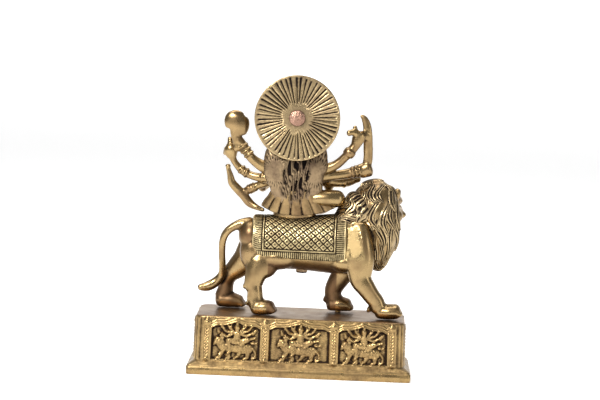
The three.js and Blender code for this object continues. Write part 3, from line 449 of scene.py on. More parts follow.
def metal_group():
    """Shared colour, roughness and fine height of aged metal: bright where rubbed, brown where it
    is warm, dark in hollows. On some pieces the darkness and the brown tone also hold painted
    shade and a painted highlight."""
    group = bpy.data.node_groups.new("aged_metal", "ShaderNodeTree")
    interface = group.interface
    for name in ("Bright", "Warm", "Dark"):
        interface.new_socket(name, in_out="INPUT", socket_type="NodeSocketColor")
    interface.new_socket("Color", in_out="OUTPUT", socket_type="NodeSocketColor")
    for name in ("Roughness", "Height"):
        interface.new_socket(name, in_out="OUTPUT", socket_type="NodeSocketFloat")
    nodes, links = group.nodes, group.links
    given, result = nodes.new("NodeGroupInput"), nodes.new("NodeGroupOutput")
    place = nodes.new("ShaderNodeTexCoord")
    patina_and_painted_light, tone_and_painted_light = nodes.new("ShaderNodeAttribute"), nodes.new("ShaderNodeAttribute")
    patina_and_painted_light.attribute_name, tone_and_painted_light.attribute_name = "patina_and_painted_light", "tone_and_painted_light"

    def noise(scale, detail):
        node = nodes.new("ShaderNodeTexNoise")
        node.inputs["Scale"].default_value = scale
        node.inputs["Detail"].default_value = detail
        links.new(place.outputs["Object"], node.inputs["Vector"])
        return node.outputs["Fac"]

    def add(a, b):
        node = nodes.new("ShaderNodeMath")
        node.operation = "ADD"
        links.new(a, node.inputs[0])
        links.new(b, node.inputs[1])
        return node.outputs[0]

    def ramp(value, low, high, to_low=0.0, to_high=1.0):
        node = nodes.new("ShaderNodeMapRange")
        numbers = {"From Min": low, "From Max": high, "To Min": to_low, "To Max": to_high}
        for socket, number in numbers.items():
            node.inputs[socket].default_value = number
        links.new(value, node.inputs["Value"])
        return node.outputs["Result"]

    def mix(fac, a, b):
        node = nodes.new("ShaderNodeMix")
        node.data_type = "RGBA"
        links.new(fac, node.inputs[0])
        links.new(a, node.inputs[6])
        links.new(b, node.inputs[7])
        return node.outputs[2]

    broad, cloudy, fine, grain = noise(22, 2), noise(75, 5), noise(420, 6), noise(1500, 3)
    tone = add(ramp(broad, 0.35, 0.7, 0, 0.3), ramp(cloudy, 0.45, 0.75, 0, 0.3))
    tone = add(tone, tone_and_painted_light.outputs["Fac"])
    wear_and_shade = add(patina_and_painted_light.outputs["Fac"], ramp(fine, 0.2, 0.8, -0.22, 0.22))
    wear_and_shade = add(wear_and_shade, ramp(cloudy, 0.3, 0.8, -0.1, 0.22))
    dark = ramp(wear_and_shade, 0.12, 0.85)
    clean = mix(tone, given.outputs["Bright"], given.outputs["Warm"])
    links.new(mix(dark, clean, given.outputs["Dark"]), result.inputs["Color"])
    rough = add(ramp(dark, 0, 1, 0.27, 0.6), ramp(cloudy, 0.3, 0.8, -0.05, 0.12))
    links.new(add(rough, ramp(tone_and_painted_light.outputs["Fac"], 0.4, 1, 0, 0.2)), result.inputs["Roughness"])
    links.new(add(ramp(fine, 0, 1, 0, 0.6), ramp(grain, 0, 1, 0, 0.4)), result.inputs["Height"])
    return group


aged_metal = metal_group()


def metal(name, bright, warm, dark, bump=0.25):
    """A metal of three tones: rubbed bright, warm, and dark in hollows; the warm and dark tones also show
    painted shade on some pieces.
    """
    material = bpy.data.materials.new(name)
    material.use_nodes = True
    nodes, links = material.node_tree.nodes, material.node_tree.links
    shader = nodes["Principled BSDF"]
    shader.inputs["Metallic"].default_value = 1.0
    group = nodes.new("ShaderNodeGroup")
    group.node_tree = aged_metal
    for socket, color in (("Bright", bright), ("Warm", warm), ("Dark", dark)):
        group.inputs[socket].default_value = (*color, 1)
    roughened = nodes.new("ShaderNodeBump")
    roughened.inputs["Strength"].default_value = bump
    roughened.inputs["Distance"].default_value = 0.0004
    links.new(group.outputs["Color"], shader.inputs["Base Color"])
    links.new(group.outputs["Roughness"], shader.inputs["Roughness"])
    links.new(group.outputs["Height"], roughened.inputs["Height"])
    links.new(roughened.outputs["Normal"], shader.inputs["Normal"])
    return material


polished = metal("polished_brass", (0.47, 0.34, 0.155), (0.165, 0.096, 0.048), (0.016, 0.010, 0.007))
carved = metal("carved_brass", (0.42, 0.285, 0.117), (0.2, 0.122, 0.062), (0.028, 0.017, 0.011), 0.4)
silvery = metal("filed_brass", (0.58, 0.46, 0.24), (0.33, 0.23, 0.115), (0.014, 0.009, 0.006), 0.3)
dusky = metal("engraved_brass", (0.46, 0.34, 0.18), (0.17, 0.112, 0.072), (0.014, 0.010, 0.009), 0.3)
coppery = metal("rivet_copper", (0.36, 0.215, 0.155), (0.28, 0.155, 0.10), (0.05, 0.02, 0.012), 0.8)
iron_brown = metal("aged_nut", (0.25, 0.17, 0.10), (0.15, 0.095, 0.06), (0.03, 0.02, 0.012), 0.5)


# Plinth

# One goddess on her lion in low relief: blobs [x, z, radius, x, z, radius, height] from the middle
# of the panel's sill; both ends of a blob are round.
RELIEF = [
    [13, 14, 5, 2, 12, 4.6, 2.2], [2, 12, 4.6, -12, 11, 5.2, 2.2], [16, 18, 5, 18, 19.5, 3.6, 2.7],
    [20, 17, 2.4, 21, 15.5, 1.6, 2.6], [13, 22, 2, 15, 24, 1.4, 2.2], [12, 11, 2.8, 16, 2, 2, 2],
    [16, 2, 2, 19, 1.2, 1.4, 2], [8, 10, 2.6, 6, 2, 1.8, 1.7], [6, 2, 1.8, 9, 1.2, 1.3, 1.7],
    [-6, 10, 2.8, -2, 3, 1.8, 1.7], [-2, 3, 1.8, 1, 1.4, 1.3, 1.7], [-13, 10, 3, -12, 2.5, 1.9, 2.1],
    [-12, 2.5, 1.9, -8.6, 1.3, 1.5, 2.1], [-17, 12, 1.3, -20, 8, 1.2, 1.6],
    [-20, 8, 1.2, -20, 3, 1.2, 1.6], [-20, 3, 1.2, -17, 1.6, 1.6, 1.6],
    [-1, 19, 4.4, -1, 27, 3.4, 2.5], [-1, 28.5, 2, -1, 30, 2, 2.7], [-1, 32, 2.9, -1, 33.4, 2.8, 3.1],
    [-1, 36.2, 1.9, -1, 39, 0.8, 2.8], [-3.6, 26.6, 1.7, 1.6, 26.6, 1.7, 3],
    [7, 19, 3.4, -3, 18, 3.8, 2.7], [7, 19, 3.2, 6, 8, 2, 2.8], [6, 8, 2, 8.6, 5, 1.6, 2.8],
    [-4, 18, 3.4, -11, 20, 3, 2.6], [-11, 20, 2.8, -5, 15, 1.9, 2.6], [3, 26, 1.7, 9, 23, 1.5, 2],
    [9, 23, 1.5, 14, 26, 1.3, 2], [3, 27, 1.6, 10, 28.5, 1.4, 2], [10, 28.5, 1.4, 14, 33, 1.2, 2],
    [2, 28, 1.5, 7, 32.5, 1.3, 1.8], [7, 32.5, 1.3, 9, 37, 1.1, 1.8], [-5, 26, 1.7, -11, 24, 1.5, 2],
    [-11, 24, 1.5, -16, 27, 1.3, 2], [-5, 27, 1.6, -12, 29, 1.4, 2], [-12, 29, 1.4, -16, 34, 1.2, 2],
    [-4, 28, 1.5, -9, 33, 1.3, 1.8], [-9, 33, 1.3, -11, 37.5, 1.1, 1.8],
    [14, 33, 1.8, 15, 37, 0.9, 1.9], [17, 27, 1.9, 18, 30, 1, 1.9], [-16, 34, 1.4, -19, 37, 0.9, 1.9],
    [-17, 27, 2, -20, 30, 1.3, 1.9], [-14, 21, 1.2, -19, 22, 1.4, 1.7],
    [-16, 17, 1.1, -21, 17, 1.4, 1.6],
]


def blobs(x, z, table):
    """Height of round-topped blobs: height times the root of 1 - (distance / radius)^2 from each
    blob's own line, whichever is highest."""
    height = np.zeros_like(x)
    for ax, az, ar, bx, bz, br, top in table:
        dx, dz = bx - ax, bz - az
        along = np.clip(((x - ax) * dx + (z - az) * dz) / (dx * dx + dz * dz), 0, 1)
        away = np.hypot(x - (ax + along * dx), z - (az + along * dz))
        radius = ar + along * (br - ar)
        height = np.maximum(height, top * np.sqrt(np.clip(1 - (away / radius) ** 2, 0, 1)))
    return height


def arch_depth(s, z, width):
    """How far a point lies inside a panel's cusped arch, in millimetres; below 0 is outside. The
    top is flat shoulders with a pointed hood that rises in its middle third."""
    half = width / 2
    reach = np.clip(np.abs(s) / half, 0, 1.4)
    hood = ARCH_RISE * np.exp(-(reach / 0.3) ** 1.5) - 2.4 * smoothstep(reach, 0.78, 1.0)
    return np.minimum(np.minimum(half - np.abs(s), PANEL_HEIGHT + hood - z), z - PANEL_SILL)


def carving(s, z, panels, motif):
    """Height of one side's carving over its plain face: sunk panels with their figures, mouldings
    that follow each arch up to the plinth's edge, and beaded pilasters with a square tile, set on
    its corner, at both ends."""
    height = 0 * z
    for middle, width in panels:
        depth = arch_depth(s - middle, z, width)
        moulding = 0.2 + 1.1 * np.abs(np.cos((depth + 0.2) * np.pi / 2.4)) ** 1.3
        near = np.abs(s - middle) < width / 2 + PILASTER_WIDTH / 2
        height = np.where((depth > -6.8) & (depth <= 0) & near, moulding - 0.5, height)
        floor = -PANEL_DEPTH + 0.4 * np.sin(s * 1.3 + 2 * np.sin(z)) * np.sin(z * 1.5 + np.sin(s * 1.1))
        raised = motif(s - middle, z - PANEL_SILL)
        sunk = np.maximum(-PANEL_DEPTH * smoothstep(depth, 0, 0.7), floor)
        height = np.where(depth > 0, sunk + raised, height)
    edges = [middle - width / 2 for middle, width in panels] + [panels[-1][0] + panels[-1][1] / 2]
    for k, edge in enumerate(edges):
        place = edge + (PILASTER_WIDTH / 2 if k == len(edges) - 1 else -PILASTER_WIDTH / 2)
        off = np.abs(s - place)
        shaft = 0.9 + 0.55 * np.cos((z + 1.4 * np.abs(off - 1.3)) * 2 * np.pi / 3.1) * (off < 1.9)
        shaft = shaft - 0.8 * np.exp(-((off - 2.4) / 0.35) ** 2)
        height = np.where((off < 3.2) & (z < PANEL_HEIGHT + 1), shaft, height)
        for level, size in ((PANEL_HEIGHT + 2.6, 4.8), (1.8, 3.6)):
            lozenge = size - off - np.abs(z - level)
            seam = 0.7 * np.exp(-((lozenge - 1.1) / 0.4) ** 2)
            tile = 1.3 - seam + 0.5 * (np.hypot(off, z - level) < 1.1)
            height = np.where(lozenge > 0, tile, height)
    return height


def figure_motif(s, z):
    """The goddess and lion, with a ring of glory, over a mottled floor."""
    halo = 1.3 * np.exp(-((np.hypot(s + 1, z - 33) - 6.2) / 0.8) ** 2)
    folds = 0.5 * np.sin(2.1 * s + 1.7 * np.sin(1.9 * z)) * np.sin(2.3 * z + 1.4 * np.sin(1.7 * s))
    figure = blobs(s, z, RELIEF)
    return np.maximum(halo, figure + folds * smoothstep(figure, 0.4, 1))


def lotus_motif(s, z):
    """A lotus seen from above, of two rows of petals round a seed head, with corner leaves."""
    away = np.hypot(s, z - 17)
    angle = np.arctan2(z - 17, s)
    outer = (12.5 + 2.2 * np.cos(8 * angle)) - away
    inner = (8 + 1.5 * np.cos(8 * angle + np.pi)) - away
    petals = 1.3 * smoothstep(outer, 0, 1.6) + 0.8 * smoothstep(inner, 0, 1.4)
    veins = 0.35 * np.cos(24 * angle) * (away < 13) * (away > 4)
    return petals + veins * (outer > 0.6) + 0.7 * smoothstep(4 - away, 0, 1)


def perimeter(steps_back, steps_front, steps_end, steps_corner):
    """Columns round a rounded rectangle, counter-clockwise from above: for each, the share of the
    straight sides (fx, fy), the corner angle, and which face it is on (0 back, 1 left end, 2
    front, 3 right end, -1 a corner)."""
    straight = [(0, 1, steps_back), (1, 2, steps_end), (2, 3, steps_front), (3, 0, steps_end)]
    fx, fy, angle, face = [], [], [], []
    for k, turn, steps in straight:
        run = 1 - 2 * (np.arange(steps) + 0.5) / steps
        here = (k + 1) * np.pi / 2
        fx.append([run, np.full(steps, -1), -run, np.ones(steps)][k])
        fy.append([np.ones(steps), run, -np.ones(steps), -run][k])
        angle.append(np.full(steps, here))
        face.append(np.full(steps, k))
        bend = (np.arange(steps_corner) + 0.5) / steps_corner
        fx.append(np.full(steps_corner, [-1, -1, 1, 1][k]))
        fy.append(np.full(steps_corner, [1, -1, -1, 1][k]))
        angle.append(here + bend * np.pi / 2)
        face.append(np.full(steps_corner, -1))
    return [np.concatenate(part) for part in (fx, fy, angle, face)]


def plinth_profile():
    """The plinth's section as rows [height, half length, half width, corner radius], from the middle
    of the inner ceiling down the hollow, out over the plate and up the wall to the middle of the
    top; and the number of the wall's first row."""
    body = np.array([BODY_LENGTH, BODY_WIDTH]) / 2
    plate = np.array([PLATE_LENGTH, PLATE_WIDTH]) / 2
    hollow = body - PLINTH_WALL
    ceiling = PLINTH_HEIGHT - PLINTH_TOP_WALL
    bead = PLATE_HEIGHT - BEAD_HEIGHT
    wall_head = PLINTH_HEIGHT - TOP_ROUNDING
    rows = [(ceiling, 0 * body, 0)]
    rows += [(z, hollow, HOLLOW_CORNER) for z in (ceiling, ceiling - 1, 0.4)]
    rows.append((0, hollow + 0.5, HOLLOW_CORNER))
    rows += [(z, half, PLATE_CORNER) for z, half in (
        (0, plate - 0.6), (0.6, plate), (bead - 0.5, plate), (bead, plate - 0.5),
        (bead + 0.1, plate - BEAD_STEP), (PLATE_HEIGHT - 0.3, plate - BEAD_STEP),
        (PLATE_HEIGHT, plate - BEAD_STEP - 0.3))]
    rows.append((BODY_FOOT - 0.3, body + BODY_SPREAD + 0.5, BODY_CORNER))
    first_wall = len(rows)
    for z in np.linspace(BODY_FOOT, wall_head, WALL_ROWS):
        rows.append((z, body + BODY_SPREAD * (wall_head - z) / (wall_head - BODY_FOOT), BODY_CORNER))
    for turn in np.linspace(0.3, 1, 4) * np.pi / 2:
        back = TOP_ROUNDING * (1 - np.cos(turn))
        rows.append((wall_head + TOP_ROUNDING * np.sin(turn), body - back, BODY_CORNER))
    rows += [(PLINTH_HEIGHT, body * 0.6, 4), (PLINTH_HEIGHT, 0 * body, 0)]
    return np.array([[z, *half, corner] for z, half, corner in rows], float), first_wall


def wall_carving(s, up, face, angle):
    """Carving of all four walls: s is the place along a wall, up the height over its foot."""
    outer_middle = MIDDLE_PANEL / 2 + PILASTER_WIDTH + OUTER_PANEL / 2
    panels = [[-outer_middle, OUTER_PANEL], [0, MIDDLE_PANEL], [outer_middle, OUTER_PANEL]]
    long_side = carving(s, up, panels, figure_motif)
    short_side = carving(s, up, [[0, END_PANEL]], lotus_motif)
    round_corner = 0.9 * np.abs(np.cos((angle % (np.pi / 2)) * 2 * 3.2)) - 0.5
    height = np.where((face == 0) | (face == 2), long_side, short_side)
    height = np.where(face == -1, round_corner, height)
    wall_height = PLINTH_HEIGHT - TOP_ROUNDING - BODY_FOOT
    return height * (smoothstep(up, 0, 0.8) * smoothstep(wall_height - up, 0, 0.8))


def plinth():
    """The plinth as one closed grid, columns round it and rows along its section, with its walls
    carved. Returns the skin and how brown each point is: most on the flat top."""
    fx, fy, angle, face = perimeter(BACK_COLUMNS, FRONT_COLUMNS, END_COLUMNS, CORNER_COLUMNS)
    rows, first_wall = plinth_profile()
    z, half_x, half_y, corner = [rows[:, k:k + 1] for k in range(4)]
    grid = np.stack([fx * (half_x - corner) + corner * np.cos(angle),
                     fy * (half_y - corner) + corner * np.sin(angle), z + 0 * angle], -1)
    foot_x, foot_y = grid[first_wall, :, 0], grid[first_wall, :, 1]
    along = np.select([face == 0, face == 1, face == 2, face == 3], [foot_x, foot_y, -foot_x, -foot_y])
    walls = slice(first_wall, first_wall + WALL_ROWS)
    s = np.broadcast_to(along, (WALL_ROWS, len(along)))
    up = np.broadcast_to(rows[walls, :1] - BODY_FOOT, s.shape)
    height = wall_carving(s, up, face, angle)
    grid[walls] += height[..., None] * np.stack([np.cos(angle), np.sin(angle), 0 * angle], -1)

    blur = height.copy()
    for axis, reach in ((0, 4), (1, 5)):
        blur = sum(np.roll(blur, k, axis) for k in range(-reach, reach + 1)) / (2 * reach + 1)
    marks = np.full(grid.shape[:2], -0.25)
    marks[walls] = np.minimum(0.2 + 0.85 * (blur - height), 0.95)
    underside, plate_edge, slope = slice(0, 5), slice(5, 9), slice(9, first_wall)
    marks[plate_edge] = 0.14
    marks[slope] = 0.3
    marks[underside] = 0.8
    tone_and_painted_light = 0.15 + 0.6 * (grid[..., 2] > PLINTH_HEIGHT - 0.5)
    return tube(grid, marks), tube(grid, tone_and_painted_light)[3]


plinth_skin, plinth_warmth = plinth()
casting = add_piece("plinth_casting", plinth_skin, carved, plinth_warmth)
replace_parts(casting, "plinth")


# Lion


def on_plinth(grid):
    return grid + np.array([0, 0, PLINTH_HEIGHT])


def lion_paw(stations, stands):
    """A paw with four toes, each with a small claw; stands is how far above the plinth it ends."""
    toe = np.array(stations[2][:3])
    parts = [limb(stations, 30, 8)]
    for place in (-1.5, -0.5, 0.5, 1.5):
        reach = 5.2 - 1.1 * abs(place)
        tip = toe + np.array([-reach, place * 4.4, -2.6])
        root = toe + np.array([5, place * 3.4, 1.6])
        knuckle = (root + tip) / 2 + [0, 0, 1.6]
        parts.append(limb([[*root, 2.6, 3.4], [*knuckle, 2.9, 3.8], [*tip, 2.7, 3]], 20, 6))
        parts.append(limb([[*(tip + [-1.4, 0, 0.4]), 0.9, 1.1], [*(tip + [-3, 0, -1.6]), 0.4, 0.5]], 10, 4))
    foot = stands + GAP
    for part in parts:
        part[..., 2] = np.maximum(part[..., 2], foot)
    return parts


def on_face(grid):
    """From a head looking along -Y at the origin to its place on the lion, turned to its right."""
    c, s = np.cos(-FACE_TURN), np.sin(-FACE_TURN)
    x, y, z = grid[..., 0], grid[..., 1], grid[..., 2]
    return np.stack([c * x - s * y, s * x + c * y, z], -1) + FACE_MIDDLE


def lion_head():
    """Muzzle with a split lip, jaw with teeth, brow, deep-set eyes and round ears."""
    parts = [
        limb([[0, -2, 0, 11, 12], [0, -13, -3, 10, 9], [0, -22.5, -5.5, 8, 7.6]], 30, 8, X_AXIS),
        limb([[0, -6, -12, 8, 5], [0, -20.5, -15.5, 5, 3.4]], 24, 8, X_AXIS),
        knob([0, -7, 10], [14, 11, 12]), knob([0, -26, -1.6], [4.6, 3, 3]),
        limb([[0, -14, 9, 4.2, 3], [0, -20, 4.5, 3.6, 3], [0, -26, 1.4, 3.2, 2]], 20, 6, X_AXIS),
    ]
    brow = [[2, -18, 10, 1.6, 1.4], [7, -17.4, 11.4, 2, 1.6], [12, -13, 9, 1.6, 1.4]]
    ear = [[11, 0, 10, 5, 4.5], [14, -1, 17, 5, 3.8], [15.4, -2, 21, 3.4, 2.6]]
    for side in (-1, 1):
        parts += [
            knob([side * 4.6, -25, -6], [4.4, 4, 3.4]), knob([side * 7, -15.8, 7.2], [3.4, 2.8, 2.2]),
            limb(mirrored(brow, side), 14, 6),
            knob([side * 3, -24.5, -9.6], [0.9, 0.9, 2.2]), knob([side * 10.5, -8, -6], [5, 8, 7]),
            limb(mirrored(ear, side), 20, 6, X_AXIS),
        ]
    return [on_face(part) for part in parts]


def lion_parts():
    """Every lofted or round form of the lion, each closed in itself."""
    parts = [limb(TRUNK, 60, 12), limb(TAIL, 24, 6), limb(NECK, 40, 10), limb(MANE, 50, 6),
             limb([[80, -12, 37, 3, 5], [76, -18, 33, 4, 5]], 20, 6)]
    for number, leg in enumerate(LEGS):
        parts.append(limb(leg, 40, 8, square=0.72 if number == NEAR_FORELEG else 1.0))
    parts += lion_head()
    for number, paw in enumerate(PAWS):
        parts += lion_paw(paw, SPACER_HEIGHT + GAP if number == RAISED_PAW else 0)
    parts += [limb(spur, 16, 5) for spur in SPURS]
    return parts + [knob(middle, half, 40, 24) for middle, half in FLESH]


def file_shoulder(points):
    """Presses the near shoulder to the flat that a file left there: a leaning plane, behind an edge
    that slants up the shoulder. Returns how much each point belongs to it, 0 to 1."""
    back, foot, head = -38, 61, 99
    x, y, height = points[:, 0], points[:, 1], points[:, 2] - PLINTH_HEIGHT
    front_edge = -61.5 + 0.264 * (height - foot)
    flat = (y > 12) * smoothstep(x - front_edge, -1, 1) * (x < back)
    flat = flat * smoothstep(height, foot - 2, foot) * smoothstep(head - height, 0, 3)
    filed = 22.2 - 0.16 * (x + 52) - 0.2 * (height - 78)
    points[:, 1] = np.where(flat > 0.5, np.minimum(y, filed), y)
    return flat


def lion_body():
    """The lion's casting and how brown each point is. Painted shade makes the far legs, the rump
    below the tail's root and the underside browner, and a painted highlight makes the filed flat
    brighter."""
    points, quads = one_body([on_plinth(part) for part in lion_parts()], LION_VOXEL, LION_SOFTENING)
    points[:, 2] = np.maximum(points[:, 2], PLINTH_HEIGHT + GAP)
    marks = 0.06 + hollows(points, quads, 4, 1.8) + hollows(points, quads, 24, 0.16)
    x, height = points[:, 0], points[:, 2] - PLINTH_HEIGHT
    # Painted shade: the far legs, away from the lamps, the rump below the tail's root and the underside are
    # made browner, and the far legs and underside darker too
    far_leg_shade = smoothstep(-points[:, 1], 6, 16) * smoothstep(75 - height, 0, 20)
    under_tail_shade = np.exp(-(np.hypot(x - 55, height - 80) / 16) ** 2)
    belly = 0.6 * smoothstep(56 - height, 0, 10) * (np.abs(x) < 34)
    # Painted highlight: the filed flat is made lighter and less brown below
    flat = file_shoulder(points)
    tone_and_painted_light = np.maximum(0.38 + 0.5 * far_leg_shade, 0.8 * under_tail_shade) + belly - flat
    marks = marks + 0.2 * far_leg_shade + 0.14 * belly - 0.4 * flat
    return (points, quads, NO_TRIANGLES, marks), tone_and_painted_light


lion_skin, lion_tone_and_painted_light = lion_body()
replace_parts(add_piece("lion_body", lion_skin, polished, lion_tone_and_painted_light), "lion")


# Each lock's lean, bend, size, delay and turn are drawn between these
LEAST_LOCK = [-0.6, 0.3, 0.9, -0.35, -0.25]
LARGEST_LOCK = [0.6, 0.75, 1.3, 0.35, 0.25]


def lock_relief(around, down, columns, tiers, strands, length, random):
    """Height 0..1 and darkness 0..1 of leaf-shaped locks in tiers. Along a lock, from 0 at its root
    to 1 at its tip, its middle line leans and bends like an S, its half width goes as
    share^0.5 (1 - share)^0.55, and it rises towards the tip; across it is a ridge 1 - (off /
    width)^2 with strand grooves that gather to the tip. The highest lock hides the others. The
    darkness is dark at the edges and in the grooves, and near the root it is a painted shadow of
    the lock above."""
    height = np.zeros_like(around)
    dark = np.ones_like(around)
    for tier in range(-1, tiers + 1):
        for column in range(columns):
            lean, bend, size, late, turn = random.uniform(LEAST_LOCK, LARGEST_LOCK)
            local = (down * tiers - tier - late) / length
            share = np.clip(local, 1e-3, 1 - 1e-3)
            wave = bend * np.sin(2 * np.pi * (0.95 * share + 0.17 * tier))
            middle = column + 0.5 * (tier % 2) + turn + lean * share + wave
            off = (around * columns - middle + columns / 2) % columns - columns / 2
            width = 1.3 * size * share ** 0.5 * (1 - share) ** 0.55
            ridge = np.clip(1 - (off / width) ** 2, 0, 1)
            groove = 0.5 - 0.5 * np.cos(2 * np.pi * strands * (off / (2 * width) + 0.5))
            groove = groove * smoothstep(share, 0.02, 0.15)
            lock = (0.35 + 0.65 * share) * ridge ** 0.5 * (1 - 0.3 * groove)
            shown = (local > 0) & (local < 1) & (lock > height)
            height = np.where(shown, lock, height)
            edges = 1.2 * (1 - smoothstep(ridge, 0.08, 0.55))
            # The last term is painted shadow: darker near the root, under the tip of the lock above
            shade = edges + 1.35 * groove ** 1.1 + 0.4 * smoothstep(0.35 - share, 0, 0.3)
            dark = np.where(shown, np.clip(shade - 0.1, 0, 1), dark)
    return height, dark


def carved_locks(stations, sides, per, caps, swirl, locks, relief_height, relief_foot, shade):
    """Locks carved on a lofted form. swirl is how far, how often and from which phase they sway
    round it; locks is the columns, tiers, strands and length for lock_relief."""
    kept = {}
    sway, turns, phase = swirl

    def relief(t, u, point):
        around = (u / (2 * np.pi) + sway * np.sin(2 * np.pi * t * turns + phase)) % 1
        height, kept["dark"] = lock_relief(around, 1 - t, *locks, rng)
        return relief_height * height - relief_foot

    grid = limb(stations, sides, per, caps=caps, relief=relief)
    return tube(on_plinth(grid), shade * kept["dark"])


mane = carved_locks(MANE, 330, 28, 10, (0.03, 1.1, 0.6), (11, 5, 4, 1.9), 4.6, 1.8, 1)
nape = carved_locks(NECK, 280, 44, 12, (0.05, 1.2, 0), (15, 3, 3, 1.7), 2, 0.5, 0.95)
add_piece("lion_mane", mane, dusky)
add_piece("lion_nape", nape, dusky)


def trunk_section(x):
    """Stations of the trunk's curve where it passes each x."""
    t = np.linspace(0, 1, 400)
    return spline(TRUNK, np.interp(-x, -spline(TRUNK, t)[:, 0], t))


def trunk_skin(x, turn, lift):
    """Points on the lion's trunk grown by a lift, at a place along it and an angle round it."""
    value = trunk_section(x)
    middle = value[..., :3] + 0
    middle[..., 0] = x
    side = (value[..., 3] + lift) * np.cos(turn)
    down = (value[..., 4] + lift) * np.sin(turn)
    return middle + np.stack([0 * side, side, -down], -1)


def cloth_engraving(x, drop, foot):
    """The cloth's pattern over its plain face, as height and darkness: a field of diamonds with a
    punched dot in each, a double frame line, hatched side bands and a fringe along the foot.
    drop is the height above the foot along the cloth."""
    pitch_x, pitch_z = 8, 7.4
    p, q = x / pitch_x + drop / pitch_z, x / pitch_x - drop / pitch_z

    def line(value, half_width):
        return np.exp(-((value - np.round(value)) / half_width) ** 2)

    lattice = np.maximum(line(p, 0.115), line(q, 0.115))
    dot = np.exp(-((p - np.floor(p) - 0.5) ** 2 + (q - np.floor(q) - 0.5) ** 2) / 0.03)
    from_frame = np.minimum(np.minimum(FIELD_LEFT - x, x - FIELD_RIGHT), drop - (FIELD_FOOT - foot))
    field = from_frame > 2.2
    frame_lines = np.exp(-((from_frame - 1.8) / 0.65) ** 2) + np.exp(-((from_frame + 0.6) / 0.65) ** 2)
    border = (from_frame < -1) & (from_frame > -9)
    along_foot = drop < (FIELD_FOOT - foot) - 1
    hatching = np.where(along_foot, line(x / 2, 0.3), line(drop / 2, 0.3)) * border
    hatching = hatching * smoothstep(from_frame, -9.5, -8.5)
    inside = np.where(field, np.maximum(lattice, dot), 0)
    cutting = np.maximum(inside, np.maximum(frame_lines, 0.9 * hatching))
    return -0.5 * cutting, cutting


def saddle_cloth():
    """The cloth as a skin grown out of the trunk, from hem to hem over the lion's back."""
    x = np.linspace(CLOTH_LEFT, CLOTH_RIGHT, 176)[:, None]
    section = trunk_section(x[:, 0])
    share = (x[:, 0] - CLOTH_RIGHT) / (CLOTH_LEFT - CLOTH_RIGHT)
    foot = CLOTH_FOOT_RIGHT + share * (CLOTH_FOOT_LEFT - CLOTH_FOOT_RIGHT)
    hem_height = (section[:, 2] - foot) / (section[:, 4] + CLOTH_THICKNESS)
    hem = np.arcsin(np.clip(hem_height, -1, 1))[:, None]
    v = np.linspace(0, 1, 184)[None]
    turn = hem + v * (-np.pi - 2 * hem)
    plain = trunk_skin(x + 0 * v, turn, CLOTH_THICKNESS)
    steps = np.linalg.norm(np.diff(plain, axis=1), axis=-1)
    run = np.concatenate([np.zeros((len(x), 1)), np.cumsum(steps, 1)], 1)
    drop = np.minimum(run, run[:, -1:] - run)
    height, cutting = cloth_engraving(x + 0 * v, drop, foot[:, None])
    edge = np.minimum(np.minimum(CLOTH_LEFT - x, x - CLOTH_RIGHT), drop)
    rounded = -1.2 * (1 - smoothstep(edge, 0, 1.4))
    outer = trunk_skin(x + 0 * v, turn, CLOTH_THICKNESS + height + rounded)
    inner = trunk_skin(x + 0 * v, turn, -0.8)
    marks = 0.04 + 1.2 * cutting + 0.5 * (1 - smoothstep(edge, 0, 1.2))
    return pillow(on_plinth(outer), on_plinth(inner), marks)


add_piece("saddle_cloth", saddle_cloth(), silvery)


# Durga


def on_seat(grid):
    return grid + SEAT


def waved_strands(x, z):
    """Long strands that gather to the waist and swing in waves: fine ridges |sin| across them, and
    deep gaps, which are broken streaks along every few strands. Returns ridges and gaps, 0..1."""
    gathered = x / (0.6 + 0.4 * smoothstep(z, 8, 56))
    line = gathered + 1.3 * np.sin(z / 5.2 + 0.3 * gathered) + 0.5 * np.sin(z / 2.3 + gathered)
    ridge = np.abs(np.sin(np.pi * line / 2.6))
    streak = np.cos(2 * np.pi * line / 6.6)
    number = np.floor(line / 6.6 + 0.5)
    broken = 0.5 + 0.5 * np.sin(z / (3.6 + 0.5 * np.sin(number)) + 2.4 * number)
    return ridge, smoothstep(streak, -0.1, 0.6) * smoothstep(broken, 0.22, 0.55)


def shoulder_strokes(x, z):
    """Fine strokes that run outward from the middle of each shoulder blade, which stays plain."""
    strokes = 0 * x
    for side in (-1, 1):
        away = np.hypot(x - side * 20, z - 43)
        angle = np.arctan2(z - 43, x - side * 20)
        comb = 0.5 + 0.5 * np.cos(34 * angle + 0.5 * np.sin(away))
        dashes = 0.6 + 0.4 * np.sin(away * 1.1 + 2 * np.sin(9 * angle))
        strokes = np.where(x * side > 0, comb ** 2 * dashes * smoothstep(away, 8, 13), strokes)
    return strokes


def hair():
    """Her hair as a mantle: deep waved strands down the middle of her back, fine strokes over the
    shoulders."""
    kept = {}

    def relief(t, u, point):
        x, z = point[..., 0], point[..., 2]
        back = smoothstep(np.cos(u), -0.4, 0.3)
        ridge, gap = waved_strands(x + 0.5, z)
        edge = 14 + 1.5 * np.sin(z / 3) - 3 * smoothstep(26 - z, 0, 14)
        middle = smoothstep(edge - np.abs(x + 0.5), -1, 3)
        stroke = shoulder_strokes(x, z) * smoothstep(z, 22, 32)
        combed = (1 - ridge) ** 1.5
        kept["marks"] = 0.16 + back * (middle * np.maximum(gap, 0.9 * combed) + 0.8 * (1 - middle) * stroke)
        return back * (middle * (0.8 * ridge - 2.2 * gap) - 0.6 * (1 - middle) * stroke)

    grid = limb(HAIR, 330, 22, dome=0.5, caps=8, relief=relief)
    return tube(on_seat(grid), kept["marks"])


